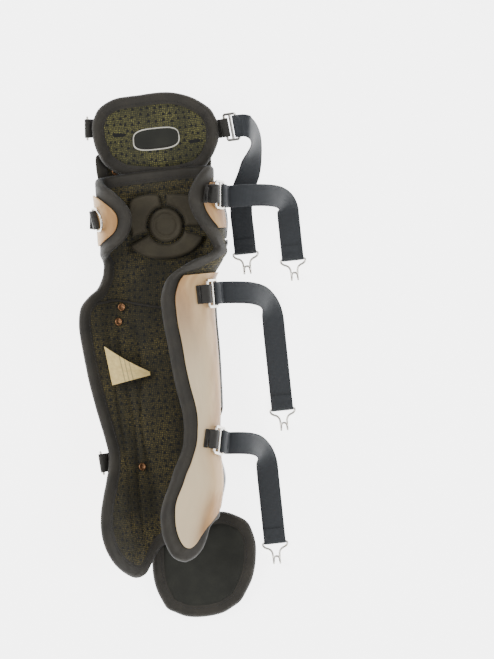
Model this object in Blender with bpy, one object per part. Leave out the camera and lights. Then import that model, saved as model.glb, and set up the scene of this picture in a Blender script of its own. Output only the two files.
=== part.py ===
"""Catcher leg guard lying on the front of its knee cap, padded side up.

Metres, +Z up. +Y runs from the ankle to the thigh, +X to the inner side of the leg,
and the origin is the middle of the knee cap's flat front face, on the ground.
"""

import math

import bmesh
import bpy
import numpy as np

# Lengths along the leg
KNEE_TOP = 0.057
KNEE_LENGTH = 0.105
SHIN_LENGTH = 0.316
THIGH_LENGTH = 0.095
THIGH_TUCK = 0.008
FOOT_LENGTH = 0.116
FOOT_TUCK = 0.028

# Widths across the leg, seen from above
LINER_WIDTH = 0.150
THIGH_WIDTH = 0.146
FOOT_WIDTH = 0.122

# Heights of the lining's outer face over the ground
KNEE_LIFT = 0.023
THIGH_RISE = 0.020

# Thicknesses
PAD = 0.010
PAD_EDGE = 0.008
THIN_PAD = 0.004
SHELL = 0.003
SHELL_LIP = 0.003
RIDGE = 0.005
ANKLE_BULGE = 0.013
COVER = 0.0012
CUSHION = 0.006
LABEL = 0.0008

# Edge roll: width on the face and how far it stands proud of the pad
ROLL_WIDTH = 0.013
ROLL_PROUD = 0.0012

# Clearances between layers, and between a small piece and its seat
LAYER_GAP = 0.0009
TWIST_GAP = 0.0011
SEAT_GAP = 0.0004
WEB_SEAT = 0.0009

# Knee cushion
DISC_RADIUS = 0.019
DISC_GROOVE = 0.003
DISC_Y = -0.005

# Hardware
WEB_WIDTH = 0.021
WEB = 0.0014
STRAP_WIDTH = 0.025
STRAP = 0.0018
WIRE = 0.0013
RING_WIDTH = 0.0255
RING_DEPTH = 0.016
RING_ARM = 0.30
SLIDER_WIDTH = 0.0325
SLIDER_DEPTH = 0.019
SLIDER_BAR = 0.003
SLIDER_THICK = 0.002
HOOK_WIDTH = 0.028
HOOK_LENGTH = 0.026
RIVET_RADIUS = 0.0046
RIVET_HEIGHT = 0.0016
RIVET_SEAT = 0.0010

# Narrowest strip of a wing that its cover reaches, and rows that it takes round the lobe
COVER_STRIP = 0.008
COVER_HEM_ROWS = 4
COVER_TRIM = 0.0015
COVER_END = 1.86
COVER_SEAT = LAYER_GAP + 0.6 * TWIST_GAP

# How far up its bend, in degrees, a plate and the cover beyond it reach
SHELL_TURN = 74.0
COVER_TURN = 82.0

# First and last station of each plate, and the stations between which the shin plate
# draws back on its inner side to make room for the ankle cap
THIGH_SHELL_SPAN = (0.24, 0.75)
BRIDGE_SHELL_SPAN = (0.68, 1.07)
KNEE_CAP_SPAN = (0.18, 0.80)
LOWER_KNEE_SPAN = (0.815, 1.035)
SHIN_SHELL_SPAN = (1.05, 1.89)
SHIN_NOTCH = (1.53, 1.69)
ANKLE_CAP_SPAN = (1.70, 1.87)
FOOT_SHELL_SPAN = (0.18, 0.82)

# Reach of the flatter plates as shares of their panel's width, the height of the knee cap
# as a share of KNEE_LIFT, and the lateral border of the shin plate as a share of the bend
THIGH_SHELL_HALF = 0.36
BRIDGE_SHELL_REACH = (-0.40, 0.36)
FOOT_SHELL_HALF = 0.31
FOOT_SHELL_TAPER = 0.22
KNEE_CAP_RISE = 1.35
LATERAL_BORDER = 0.80

# The shin plate's ridge: where it lies across the plate and how wide it is, as shares
RIDGE_PLACE = 0.45
RIDGE_HALF = 0.16

# Share of a pad over which its face rises from the edge roll, and of the flat lining past
# which the ankle cap starts
PAD_BORDER = 0.05
NOTCH_FLAT = 0.5

# Section rows: station, then shares of the panel's width for the middle line and shares
# of its lift for the floor, then flat, bend radius and turn in degrees on each side.
SECTION_COLUMNS = ("station", "centre", "floor", "flat_l", "bend_l", "turn_l", "flat_m", "bend_m", "turn_m")

LINER_SECTIONS = (
    (-0.05, -0.040, 1.70, 0.267, 0.180, 115, 0.253, 0.187, 125),
    (0.00, -0.040, 1.65, 0.267, 0.180, 125, 0.253, 0.187, 130),
    (0.26, -0.040, 1.35, 0.280, 0.180, 150, 0.260, 0.180, 148),
    (0.54, -0.040, 1.00, 0.287, 0.173, 152, 0.300, 0.173, 150),
    (0.83, -0.040, 0.87, 0.290, 0.180, 140, 0.293, 0.180, 145),
    (1.00, -0.047, 0.80, 0.280, 0.190, 95, 0.270, 0.190, 145),
    (1.07, -0.073, 0.74, 0.220, 0.300, 58, 0.195, 0.193, 150),
    (1.16, -0.093, 0.72, 0.200, 0.367, 47, 0.180, 0.200, 155),
    (1.35, -0.093, 0.75, 0.190, 0.387, 45, 0.167, 0.200, 155),
    (1.52, -0.093, 0.80, 0.175, 0.387, 45, 0.147, 0.200, 155),
    (1.67, -0.093, 0.87, 0.160, 0.350, 50, 0.120, 0.193, 152),
    (1.80, -0.087, 0.93, 0.160, 0.333, 48, 0.107, 0.193, 150),
    (1.93, -0.087, 1.00, 0.165, 0.333, 45, 0.073, 0.180, 150),
    (2.15, -0.087, 1.10, 0.173, 0.333, 42, 0.040, 0.173, 150),
)

THIGH_SECTIONS = (
    (-0.10, 0.000, 1.10, 0.150, 0.620, 36, 0.150, 0.620, 36),
    (0.45, -0.010, 0.55, 0.190, 0.420, 36, 0.190, 0.420, 36),
    (0.90, -0.027, 0.10, 0.240, 0.280, 36, 0.240, 0.280, 36),
    (1.25, -0.027, -0.20, 0.240, 0.280, 36, 0.240, 0.280, 36),
)

FOOT_SECTIONS = (
    (-0.20, 0.033, 1.20, 0.200, 0.900, 30, 0.200, 0.900, 30),
    (1.20, 0.033, -0.20, 0.200, 0.900, 30, 0.200, 0.900, 30),
)

# Edges: share of the panel's width from its middle line x=0, station, and 1 where the
# edge has curled past the widest place of its side.
LINER_TOP = (
    (-0.487, 0.03, 1), (-0.300, 0.00, 0), (-0.040, -0.01, 0), (0.200, -0.01, 0), (0.373, 0.02, 1),
)
KNEE_LATERAL = (
    (-0.487, 0.03, 1), (-0.413, 0.14, 1), (-0.333, 0.257, 1), (-0.273, 0.371, 1), (-0.260, 0.486, 1),
    (-0.280, 0.62, 1), (-0.330, 0.714, 1), (-0.410, 0.79, 1), (-0.480, 0.86, 1), (-0.505, 0.94, 1),
    (-0.527, 1.03, 0), (-0.570, 1.063, 0), (-0.640, 1.089, 0),
)
SHIN_LATERAL = (
    (-0.640, 1.089, 0), (-0.707, 1.125, 0), (-0.733, 1.175, 0), (-0.733, 1.256, 0), (-0.713, 1.367, 0),
    (-0.680, 1.478, 0), (-0.633, 1.600, 0), (-0.617, 1.665, 0), (-0.653, 1.75, 0), (-0.707, 1.839, 0),
    (-0.727, 1.940, 0), (-0.687, 2.022, 0), (-0.607, 2.079, 0), (-0.520, 2.108, 0),
)
KNEE_MEDIAL = (
    (0.373, 0.02, 1), (0.291, 0.123, 1), (0.223, 0.279, 1), (0.208, 0.416, 1), (0.243, 0.547, 1),
    (0.299, 0.708, 1), (0.355, 0.830, 1), (0.370, 0.91, 1), (0.262, 0.97, 1), (0.060, 1.032, 1),
    (-0.045, 1.085, 1), (-0.077, 1.136, 1),
)
SHIN_MEDIAL = (
    (-0.077, 1.136, 1), (-0.077, 1.21, 1), (-0.060, 1.29, 1), (-0.049, 1.373, 1), (-0.027, 1.465, 1),
    (-0.003, 1.56, 1), (-0.027, 1.655, 1), (-0.133, 1.76, 1), (-0.220, 1.848, 1), (-0.247, 1.924, 1),
    (-0.230, 1.99, 1), (-0.180, 2.043, 1), (-0.107, 2.063, 1),
)
LINER_HEM = (
    (-0.520, 2.108, 0), (-0.440, 2.098, 0), (-0.373, 2.057, 0), (-0.280, 2.006, 0), (-0.087, 1.990, 0),
    (0.050, 1.965, 0), (0.155, 1.935, 0), (0.120, 1.945, 1), (0.060, 2.005, 1), (-0.007, 2.047, 1),
    (-0.107, 2.063, 1),
)
LINER_SEAM = (
    (-0.640, 1.089, 0), (-0.473, 1.087, 0), (-0.333, 1.104, 0), (-0.087, 1.136, 0), (0.130, 1.136, 0),
    (0.200, 1.136, 1), (-0.077, 1.136, 1),
)

THIGH_TOP = ((-0.430, 0.115, 0), (-0.340, 0.035, 0), (-0.110, 0.000, 0), (0.160, 0.010, 0),
             (0.350, 0.125, 0),
             (0.450, 0.255, 0))
THIGH_BOTTOM = ((-0.440, 0.770, 0), (-0.330, 0.905, 0), (-0.110, 0.990, 0), (0.200, 1.000, 0),
                (0.360, 0.925, 0), (0.430, 0.800, 0))
THIGH_LATERAL = ((-0.430, 0.115, 0), (-0.490, 0.270, 0), (-0.500, 0.420, 0), (-0.485, 0.600, 0),
                 (-0.440, 0.770, 0))
THIGH_MEDIAL = ((0.450, 0.255, 0), (0.490, 0.400, 0), (0.495, 0.530, 0), (0.480, 0.660, 0),
                (0.430, 0.800, 0))

BRIDGE_TOP = ((-0.487, 0.66, 0), (-0.300, 0.64, 0), (0.0, 0.64, 0), (0.250, 0.64, 0), (0.400, 0.67, 0))
BRIDGE_BOTTOM = ((-0.470, 1.08, 0), (-0.300, 1.10, 0), (0.0, 1.10, 0), (0.250, 1.10, 0), (0.380, 1.08, 0))
BRIDGE_LATERAL = ((-0.487, 0.66, 0), (-0.500, 0.87, 0), (-0.470, 1.08, 0))
BRIDGE_MEDIAL = ((0.400, 0.67, 0), (0.410, 0.87, 0), (0.380, 1.08, 0))

FOOT_TOP = ((-0.440, 0.210, 0), (-0.260, 0.06, 0), (0.030, 0.00, 0), (0.300, 0.00, 0), (0.470, 0.110, 0))
FOOT_BOTTOM = ((-0.370, 0.880, 0), (-0.205, 0.975, 0), (-0.010, 1.000, 0), (0.165, 0.975, 0),
               (0.330, 0.880, 0))
FOOT_LATERAL = ((-0.440, 0.210, 0), (-0.465, 0.400, 0), (-0.468, 0.580, 0), (-0.435, 0.740, 0),
                (-0.370, 0.880, 0))
FOOT_MEDIAL = ((0.470, 0.110, 0), (0.525, 0.270, 0), (0.518, 0.470, 0), (0.455, 0.690, 0),
               (0.330, 0.880, 0))

# Cushion segments round the disc: angle in degrees, then the outer radius as a share of
# the disc's radius.
SEGMENT_LATERAL = ((97, 1.80), (118, 2.15), (140, 2.60), (160, 2.30), (180, 2.13), (193, 2.10))
SEGMENT_MEDIAL = ((-8, 2.08), (10, 2.03), (25, 2.13), (42, 2.32), (60, 2.00), (83, 1.82))
SEGMENT_LOWER = ((203, 2.50), (225, 2.32), (250, 2.05), (270, 2.00), (290, 2.05), (315, 2.25), (338, 2.40))

# Buckled side, one row for each strap: name, y as a share of its panel's run, turn round
# the bend in degrees where the slider sits, its skew in degrees, its extra lift (share of
# WEB_SEAT), how far the strap reaches out (share of STRAP_REACH) and how far it runs along
# the ground (share of STRAP_RUN).
STRAP_ROWS = (
    ("thigh", 0.50, 0, 0, 0.0, 0.30, 1.00),
    ("knee", 0.33, 122, -8, 1.0, 1.12, 0.54),
    ("calf", 1.125, 128, 0, 1.0, 0.92, 0.98),
    ("ankle", 1.645, 126, -14, 0.4, 0.70, 0.84),
)
STRAP_REACH = 0.060
STRAP_RUN = 0.140

# A strap's route from its slider to the ground: share of its reach, share of its run,
# height as a share of the slider's, and the plan angle of its width.
STRAP_ROUTE = (
    (0.30, 0.01, 0.98, 90),
    (0.62, 0.03, 0.80, 88),
    (0.85, 0.07, 0.52, 80),
    (0.96, 0.14, 0.26, 60),
    (1.00, 0.24, 0.09, 32),
    (1.00, 0.37, 0.02, 10),
    (1.00, 0.55, 0.00, 0),
    (1.00, 0.78, 0.00, 0),
)

# The same for the thigh strap, which turns down beside the knee and under its strap
HIGH_ROUTE = (
    (0.35, 0.02, 0.97, 88),
    (0.60, 0.07, 0.76, 76),
    (0.58, 0.15, 0.46, 52),
    (0.32, 0.26, 0.18, 26),
    (0.02, 0.38, 0.03, 8),
    (-0.50, 0.52, 0.00, 0),
    (-0.70, 0.68, 0.00, 0),
    (-0.70, 0.84, 0.00, 0),
)

# Ring side: name, station, distance of the ring's bar beyond (+) or inside (-) the wing's
# edge (share of the panel's width), extra lift (share of WEB_SEAT), and whether the ring
# hangs down or lies on the face. The tab's tail is a share of the panel's width too.
RING_ROWS = (
    ("thigh", 0.34, 0.0103, 0.6, True),
    ("knee", 0.46, 0.0, 0.9, False),
    ("calf", 1.20, -0.160, 1.0, True),
    ("ankle", 1.685, 0.0033, 0.6, True),
)
KNEE_RING_TURN = 118.0
TAB_TAIL = 0.133
SLIDER_TAIL = 0.009
STRAP_FOLD = 0.009
STRAP_TAIL = 0.014

# Hook wire: half width, distance along and height, as shares of HOOK_WIDTH / 2,
# HOOK_LENGTH and HOOK_RISE.
HOOK_RISE = 0.008
HOOK_SHAPE = (
    (1.00, 0.00, 0.00), (1.00, 0.24, 0.00), (0.30, 0.38, 0.00), (0.26, 0.80, 0.05),
    (0.26, 0.98, 0.40), (0.26, 0.92, 0.90), (0.22, 0.66, 1.00),
)

# Rivet heads on the lining: name, x as a share of the panel's width, station
RIVET_ROWS = (
    ("rivet_calf_upper", -0.427, 1.139),
    ("rivet_calf_lower", -0.467, 1.190),
    ("rivet_ankle", -0.400, 1.715),
)
RIVET_BRIDGE = (-0.360, 0.865)

# Folded label: its sewn edge and its tip, x as a share of the lining's width and station
LABEL_TOP = (-0.610, 1.272)
LABEL_BOTTOM = (-0.580, 1.414)
LABEL_TIP = (-0.235, 1.386)
LABEL_TIP_WIDTH = 0.004
LABEL_LIFT = 0.009


def clamp(value, low, high):
    return max(low, min(high, value))


class Panel:
    """A bent sheet: its sections lie at stations along the leg, and a pattern point is
    (distance along the section, y)."""

    def __init__(self, rows, width, lift, base, y_at, station_at):
        self.rows = np.array(rows, dtype=float)
        self.width = width
        self.lift = lift
        self.base = base
        self.y_at = y_at
        self.station_at = station_at

    def column(self, name, station):
        index = SECTION_COLUMNS.index(name)
        stations = self.rows[:, 0]
        values = self.rows[:, index]
        slopes = np.gradient(values, stations)
        s = clamp(station, stations[0], stations[-1])
        k = int(clamp(np.searchsorted(stations, s) - 1, 0, len(stations) - 2))
        span = stations[k + 1] - stations[k]
        t = (s - stations[k]) / span
        return (values[k] * (2 * t ** 3 - 3 * t ** 2 + 1)
                + values[k + 1] * (3 * t ** 2 - 2 * t ** 3)
                + slopes[k] * span * (t ** 3 - 2 * t ** 2 + t)
                + slopes[k + 1] * span * (t ** 3 - t ** 2))

    def side(self, station, medial):
        """Flat, bend radius and turn in radians of one side."""
        end = "m" if medial else "l"
        flat = self.column("flat_" + end, station) * self.width
        bend = self.column("bend_" + end, station) * self.width
        turn = math.radians(self.column("turn_" + end, station))
        return flat, bend, turn

    def middle(self, station):
        return self.column("centre", station) * self.width

    def point(self, along, y, out=0.0):
        """The place of a pattern point, out towards the leg from the panel's outer face."""
        station = self.station_at(y)
        flat, bend, turn = self.side(station, along >= 0)
        sign = 1.0 if along >= 0 else -1.0
        run = abs(along)
        angle = clamp((run - flat) / bend, 0.0, turn)
        rest = max(run - flat - bend * turn, 0.0)
        x = min(run, flat) + bend * math.sin(angle) + rest * math.cos(angle)
        z = bend * (1.0 - math.cos(angle)) + rest * math.sin(angle)
        x -= math.sin(angle) * out
        z += math.cos(angle) * out
        floor = self.base + self.column("floor", station) * self.lift
        return np.array((self.middle(station) + sign * x, y, floor + z))

    def along_at_turn(self, station, degrees, medial):
        """Signed distance along the section to an angle round the bend."""
        flat, bend, turn = self.side(station, medial)
        run = flat + bend * min(math.radians(degrees), turn)
        return run if medial else -run

    def along_at_x(self, x, station, past):
        """Signed distance along the section to a place seen from above."""
        offset = x - self.middle(station)
        medial = offset >= 0 or bool(past and x > self.middle(station) - self.width * 0.2)
        flat, bend, turn = self.side(station, medial)
        reach = offset if medial else -offset
        if reach <= flat and not past:
            run = reach
        elif past:
            tip = flat + bend * math.sin(turn)
            if reach >= tip:
                run = flat + bend * (math.pi - math.asin(clamp((reach - flat) / bend, -1.0, 1.0)))
            else:
                run = flat + bend * turn + (tip - reach) / max(-math.cos(turn), 0.2)
        else:
            tip = flat + bend * math.sin(turn)
            if reach <= tip or turn >= math.pi / 2:
                run = flat + bend * math.asin(clamp((reach - flat) / bend, -1.0, 1.0))
            else:
                run = flat + bend * turn + (reach - tip) / max(math.cos(turn), 0.2)
        return run if medial else -run

    def edge(self, rows):
        """Pattern points of an edge table."""
        return np.array([(self.along_at_x(x * self.width, s, past), self.y_at(s)) for x, s, past in rows])


def liner_y(station):
    neck = KNEE_TOP - KNEE_LENGTH
    if station <= 1.0:
        return KNEE_TOP - KNEE_LENGTH * station
    return neck - SHIN_LENGTH * (station - 1.0)


def liner_station(y):
    neck = KNEE_TOP - KNEE_LENGTH
    if y >= neck:
        return (KNEE_TOP - y) / KNEE_LENGTH
    return 1.0 + (neck - y) / SHIN_LENGTH


def straight_stations(top, length):
    """Stations that run evenly from the top of a panel down to its lower edge."""
    return (lambda s: top - length * s), (lambda y: (top - y) / length)


LINER = Panel(LINER_SECTIONS, LINER_WIDTH, KNEE_LIFT, 0.0, liner_y, liner_station)

# The thigh pad's lower edge lies under the lining's top edge, and its plate on the bridge.
THIGH_BOTTOM_Y = KNEE_TOP - THIGH_TUCK
THIGH_BASE = LINER.point(0.0, THIGH_BOTTOM_Y)[2] - ROLL_PROUD - LAYER_GAP - PAD_EDGE - ROLL_PROUD
THIGH = Panel(THIGH_SECTIONS, THIGH_WIDTH, THIGH_RISE, THIGH_BASE,
              *straight_stations(THIGH_BOTTOM_Y + THIGH_LENGTH, THIGH_LENGTH))

BRIDGE_DROP = (SEAT_GAP + SHELL + THIN_PAD + ROLL_PROUD) / math.cos(math.radians(36))
BRIDGE = Panel(THIGH_SECTIONS, THIGH_WIDTH, THIGH_RISE, THIGH_BASE - BRIDGE_DROP,
               *straight_stations(THIGH_BOTTOM_Y + THIGH_LENGTH, THIGH_LENGTH))

# The foot pad starts under the lining's hem and slopes to the ground.
HEM_Y = KNEE_TOP - KNEE_LENGTH - SHIN_LENGTH
FOOT_TOP_Y = HEM_Y + FOOT_TUCK
FOOT_TIP_LIFT = SHELL + LAYER_GAP
FOOT_FALL = LINER.point(0.0, HEM_Y)[2] - ROLL_PROUD - LAYER_GAP - PAD_EDGE - ROLL_PROUD - FOOT_TIP_LIFT
FOOT = Panel(FOOT_SECTIONS, FOOT_WIDTH, FOOT_FALL, FOOT_TIP_LIFT,
             *straight_stations(FOOT_TOP_Y, FOOT_LENGTH))


def material(name, colour, roughness, metallic=0.0):
    made = bpy.data.materials.new(name)
    made.use_nodes = True
    shader = made.node_tree.nodes["Principled BSDF"]
    shader.inputs["Base Color"].default_value = (*colour, 1.0)
    shader.inputs["Roughness"].default_value = roughness
    shader.inputs["Metallic"].default_value = metallic
    made.diffuse_color = (*colour, 1.0)
    return made


def add_object(name, verts, faces, look):
    """One closed body, its faces turned outwards."""
    mesh = bpy.data.meshes.new(name)
    mesh.from_pydata([tuple(v) for v in verts], [], faces)
    shape = bmesh.new()
    shape.from_mesh(mesh)
    bmesh.ops.recalc_face_normals(shape, faces=shape.faces)
    shape.to_mesh(mesh)
    shape.free()
    mesh.shade_smooth()
    mesh.set_sharp_from_angle(angle=math.radians(40))
    mesh.materials.append(look)
    made = bpy.data.objects.new(name, mesh)
    bpy.context.scene.collection.objects.link(made)
    return made


def smooth_path(points, shares):
    """Points on a smooth curve through the given ones, at shares of its length."""
    points = np.asarray(points, dtype=float)
    steps = np.linalg.norm(np.diff(points, axis=0), axis=1)
    knots = np.concatenate(([0.0], np.cumsum(steps)))
    slopes = np.gradient(points, knots, axis=0)
    fine = np.linspace(0.0, knots[-1], 40 * len(points))
    curve = []
    for d in fine:
        k = int(clamp(np.searchsorted(knots, d) - 1, 0, len(knots) - 2))
        span = knots[k + 1] - knots[k]
        t = (d - knots[k]) / span
        curve.append(points[k] * (2 * t ** 3 - 3 * t ** 2 + 1) + points[k + 1] * (3 * t ** 2 - 2 * t ** 3)
                     + slopes[k] * span * (t ** 3 - 2 * t ** 2 + t)
                     + slopes[k + 1] * span * (t ** 3 - t ** 2))
    curve = np.array(curve)
    lengths = np.concatenate(([0.0], np.cumsum(np.linalg.norm(np.diff(curve, axis=0), axis=1))))
    wanted = np.asarray(shares) * lengths[-1]
    return np.stack([np.interp(wanted, lengths, curve[:, c]) for c in range(curve.shape[1])], axis=1)


def grid_solid(name, inner, outer, look):
    """A sheet between two grids of points that match row by row."""
    rows, columns = inner.shape[0], inner.shape[1]
    verts = list(inner.reshape(-1, 3)) + list(outer.reshape(-1, 3))
    lower = rows * columns
    faces = []
    for j in range(rows - 1):
        for i in range(columns - 1):
            a = j * columns + i
            quad = (a, a + 1, a + columns + 1, a + columns)
            faces.append(quad)
            faces.append(tuple(v + lower for v in reversed(quad)))
    border = [(0, i) for i in range(columns)]
    border += [(j, columns - 1) for j in range(1, rows)]
    border += [(rows - 1, i) for i in range(columns - 2, -1, -1)]
    border += [(j, 0) for j in range(rows - 2, 0, -1)]
    loop = [j * columns + i for j, i in border]
    for a, b in zip(loop, loop[1:] + loop[:1]):
        faces.append((a, b, b + lower, a + lower))
    return add_object(name, verts, faces, look)


def panel_solid(name, panel, grid, low, high, look, floor=None):
    """A sheet on a panel. low and high are heights over its outer face, as functions of
    the row and column shares, and floor keeps the sheet above a level."""
    rows, columns = grid.shape[0], grid.shape[1]
    inner = np.zeros((rows, columns, 3))
    outer = np.zeros((rows, columns, 3))
    for j in range(rows):
        for i in range(columns):
            share = (j / (rows - 1), i / (columns - 1))
            along, y = grid[j, i]
            inner[j, i] = panel.point(along, y, high(*share))
            outer[j, i] = panel.point(along, y, low(*share))
    if floor is not None:
        outer[:, :, 2] = np.maximum(outer[:, :, 2], floor)
    return grid_solid(name, inner, outer, look)


def patch(top, bottom, left, right, u, v):
    """Pattern points that fill four edges which meet at their corners."""
    grid = np.zeros((len(v), len(u), 2))
    for j, tv in enumerate(v):
        for i, tu in enumerate(u):
            corners = ((1 - tu) * (1 - tv) * top[0] + tu * (1 - tv) * top[-1]
                       + (1 - tu) * tv * bottom[0] + tu * tv * bottom[-1])
            grid[j, i] = ((1 - tv) * top[i] + tv * bottom[i] + (1 - tu) * left[j] + tu * right[j] - corners)
    return grid


def inset(loop, distance):
    """A closed pattern loop moved inwards, kept square at its corners."""
    loop = np.asarray(loop)
    before = np.roll(loop, 1, axis=0)
    after = np.roll(loop, -1, axis=0)
    ahead = after - loop
    behind = loop - before
    ahead /= np.linalg.norm(ahead, axis=1)[:, None]
    behind /= np.linalg.norm(behind, axis=1)[:, None]
    turn = ahead + behind
    turn /= np.linalg.norm(turn, axis=1)[:, None]
    inward = np.stack((turn[:, 1], -turn[:, 0]), axis=1)
    spread = np.maximum((turn * ahead).sum(axis=1), 0.78)
    return loop + inward * (distance / spread)[:, None]


# Edge roll section: share of the roll's width in from the edge, and height over the pad's
# outer face as shares of the edge thickness, with how far it stands proud on either side.
ROLL_SECTION = ((0.00, 0.50, 0), (0.22, 1.00, 1), (0.95, 1.00, 0.5), (0.95, 0.00, -0.5), (0.22, 0.00, -1))


def edge_roll(name, panel, outline, inner, thick, look):
    """The bound edge of a pad, swept along its outline."""
    count = len(outline)
    sides = len(ROLL_SECTION)
    verts = []
    for k in range(count):
        for share, level, proud in ROLL_SECTION:
            along, y = outline[k] + (inner[k] - outline[k]) * share
            verts.append(panel.point(along, y, level * thick + proud * ROLL_PROUD))
    faces = []
    for k in range(count):
        after = (k + 1) % count
        for i in range(sides):
            j = (i + 1) % sides
            faces.append((k * sides + i, k * sides + j, after * sides + j, after * sides + i))
    return add_object(name, verts, faces, look)


def tube(name, path, radius, look, sides=6, closed=True):
    """A round wire along a path of points."""
    path = np.asarray(path)
    count = len(path)
    ahead = np.roll(path, -1, axis=0) - path
    behind = path - np.roll(path, 1, axis=0)
    if not closed:
        ahead[-1] = behind[-1]
        behind[0] = ahead[0]
    ahead /= np.linalg.norm(ahead, axis=1)[:, None]
    behind /= np.linalg.norm(behind, axis=1)[:, None]
    tangents = ahead + behind
    tangents /= np.linalg.norm(tangents, axis=1)[:, None]
    centre = path.mean(axis=0)
    flat = np.linalg.svd(path - centre)[2][2]
    verts = []
    for point, tangent in zip(path, tangents):
        side = np.cross(flat, tangent)
        side /= np.linalg.norm(side)
        up = np.cross(tangent, side)
        for i in range(sides):
            angle = 2 * math.pi * (i + 0.5) / sides
            verts.append(point + radius * (math.cos(angle) * side + math.sin(angle) * up))
    faces = []
    for k in range(count if closed else count - 1):
        after = (k + 1) % count
        for i in range(sides):
            j = (i + 1) % sides
            faces.append((k * sides + i, k * sides + j, after * sides + j, after * sides + i))
    if not closed:
        faces.append(tuple(range(sides)))
        faces.append(tuple((count - 1) * sides + i for i in reversed(range(sides))))
    return add_object(name, verts, faces, look)


def ribbon(name, path, across, width, thick, look):
    """A flat strap along a path. across gives the direction of its width at each point."""
    path = np.asarray(path, dtype=float)
    across = np.asarray(across, dtype=float)
    tangents = np.gradient(path, axis=0)
    tangents /= np.linalg.norm(tangents, axis=1)[:, None]
    verts = []
    for point, tangent, side in zip(path, tangents, across):
        side = side - tangent * np.dot(side, tangent)
        side /= np.linalg.norm(side)
        face = np.cross(tangent, side)
        for s, f in ((-1, -1), (1, -1), (1, 1), (-1, 1)):
            verts.append(point + side * s * width / 2 + face * f * thick / 2)
    faces = [(0, 1, 2, 3)]
    for k in range(len(path) - 1):
        for i in range(4):
            j = (i + 1) % 4
            faces.append((k * 4 + i, k * 4 + j, (k + 1) * 4 + j, (k + 1) * 4 + i))
    last = (len(path) - 1) * 4
    faces.append((last + 3, last + 2, last + 1, last))
    return add_object(name, verts, faces, look)


class Seat:
    """A place on a panel's outer face with its own axes: run goes round the bend away
    from the free edge (or outwards past it), lift points off the face and leg follows
    the leg. ahead is how far along the run the axes touch the face."""

    def __init__(self, panel, along, y, height, skew=0.0, ahead=0.0, outwards=False):
        step = 0.0005
        self.panel = panel
        self.place = (along, y, height)
        self.away = (-1.0 if along >= 0 else 1.0) * (-1.0 if outwards else 1.0)
        self.ahead = ahead
        self.lean = math.radians(skew)
        here = panel.point(along, y, -height)
        run = panel.point(along + self.away * step, y, -height) - here
        run /= np.linalg.norm(run)
        leg = panel.point(along, y + step, -height) - here
        leg -= run * np.dot(run, leg)
        leg /= np.linalg.norm(leg)
        lift = np.cross(run, leg)
        if np.dot(lift, panel.point(along, y, 0.0) - here) > 0:
            lift = -lift
        self.run = run * math.cos(self.lean) + leg * math.sin(self.lean)
        self.leg = leg * math.cos(self.lean) - run * math.sin(self.lean)
        self.lift = lift
        self.origin = here - self.run * ahead

    def at(self, run, leg, lift):
        """A point in the seat's straight axes."""
        return self.origin + self.run * run + self.leg * leg + self.lift * lift

    def follow(self, run, leg, lift):
        """The same point where the run and leg are laid along the face."""
        along, y, height = self.place
        ahead = run - self.ahead
        across = ahead * math.cos(self.lean) - leg * math.sin(self.lean)
        up = ahead * math.sin(self.lean) + leg * math.cos(self.lean)
        return self.panel.point(along + self.away * across, y + up, -height - lift)

    def width_at(self, run):
        """The direction of a laid strap's width."""
        return self.follow(run, WEB_WIDTH / 2, 0.0) - self.follow(run, -WEB_WIDTH / 2, 0.0)


def arc(centre, radius, start, end, steps):
    """Points of an arc in two dimensions, angles in degrees."""
    angles = np.radians(np.linspace(start, end, steps))
    return [(centre[0] + radius * math.cos(a), centre[1] + radius * math.sin(a)) for a in angles]


def wrap(seat, tail, near, far, middle, radius, thick, lie, laid=True):
    """The path of webbing that comes along a face from its tail, goes round a bar and
    returns, with the direction of its width at each point. The bar reaches from near to
    far along the run, at the height middle, and lie is the webbing's gap to the face.
    What isn't laid along the face runs straight."""
    low = thick / 2 + lie
    back = max(low + thick + SEAT_GAP, middle)
    turn = arc((far, middle), radius, -90, 90, 4)
    if far < tail:
        turn = [(2 * far - r, l) for r, l in turn]
    place = seat.follow if laid else seat.at
    width = seat.width_at if laid else lambda run: seat.leg
    inward = [(tail + (far - tail) * share, low) for share in (0.0, 0.35, 0.70)]
    outward = [((tail + near) / 2, back), (tail, low + thick + SEAT_GAP)]
    path = [place(r, 0.0, l) for r, l in inward]
    path += [seat.at(r, 0.0, l) for r, l in turn + [(near, middle + radius)]]
    path += [place(r, 0.0, l) for r, l in outward]
    across = [width(r) for r, l in inward] + [seat.leg] * (len(turn) + 1) + [width(r) for r, l in outward]
    return path, across


def tab(name, seat, tail, near, far, middle, radius, lie):
    """A webbing loop sewn to a face, round a bar."""
    path, across = wrap(seat, tail, near, far, middle, radius, WEB, lie)
    ribbon(name, path, across, WEB_WIDTH, WEB, LOOKS["webbing"])


def d_ring(name, seat, middle, hangs):
    """A wire ring with one straight side, which hangs down or lies over its face."""
    away = np.array((0.0, 0.0, -1.0)) if hangs else -seat.run
    away = away - seat.leg * np.dot(away, seat.leg)
    away /= np.linalg.norm(away)
    points = [(0.0, -0.5), (0.0, 0.0), (0.0, 0.5)]
    for angle in np.radians(np.linspace(0, 180, 8)):
        points.append((RING_ARM + (1 - RING_ARM) * math.sin(angle), 0.5 * math.cos(angle)))
    path = [seat.at(0.0, leg * RING_WIDTH, middle) + away * depth * RING_DEPTH for depth, leg in points]
    tube(name, path, WIRE, LOOKS["metal"], 5)


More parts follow.
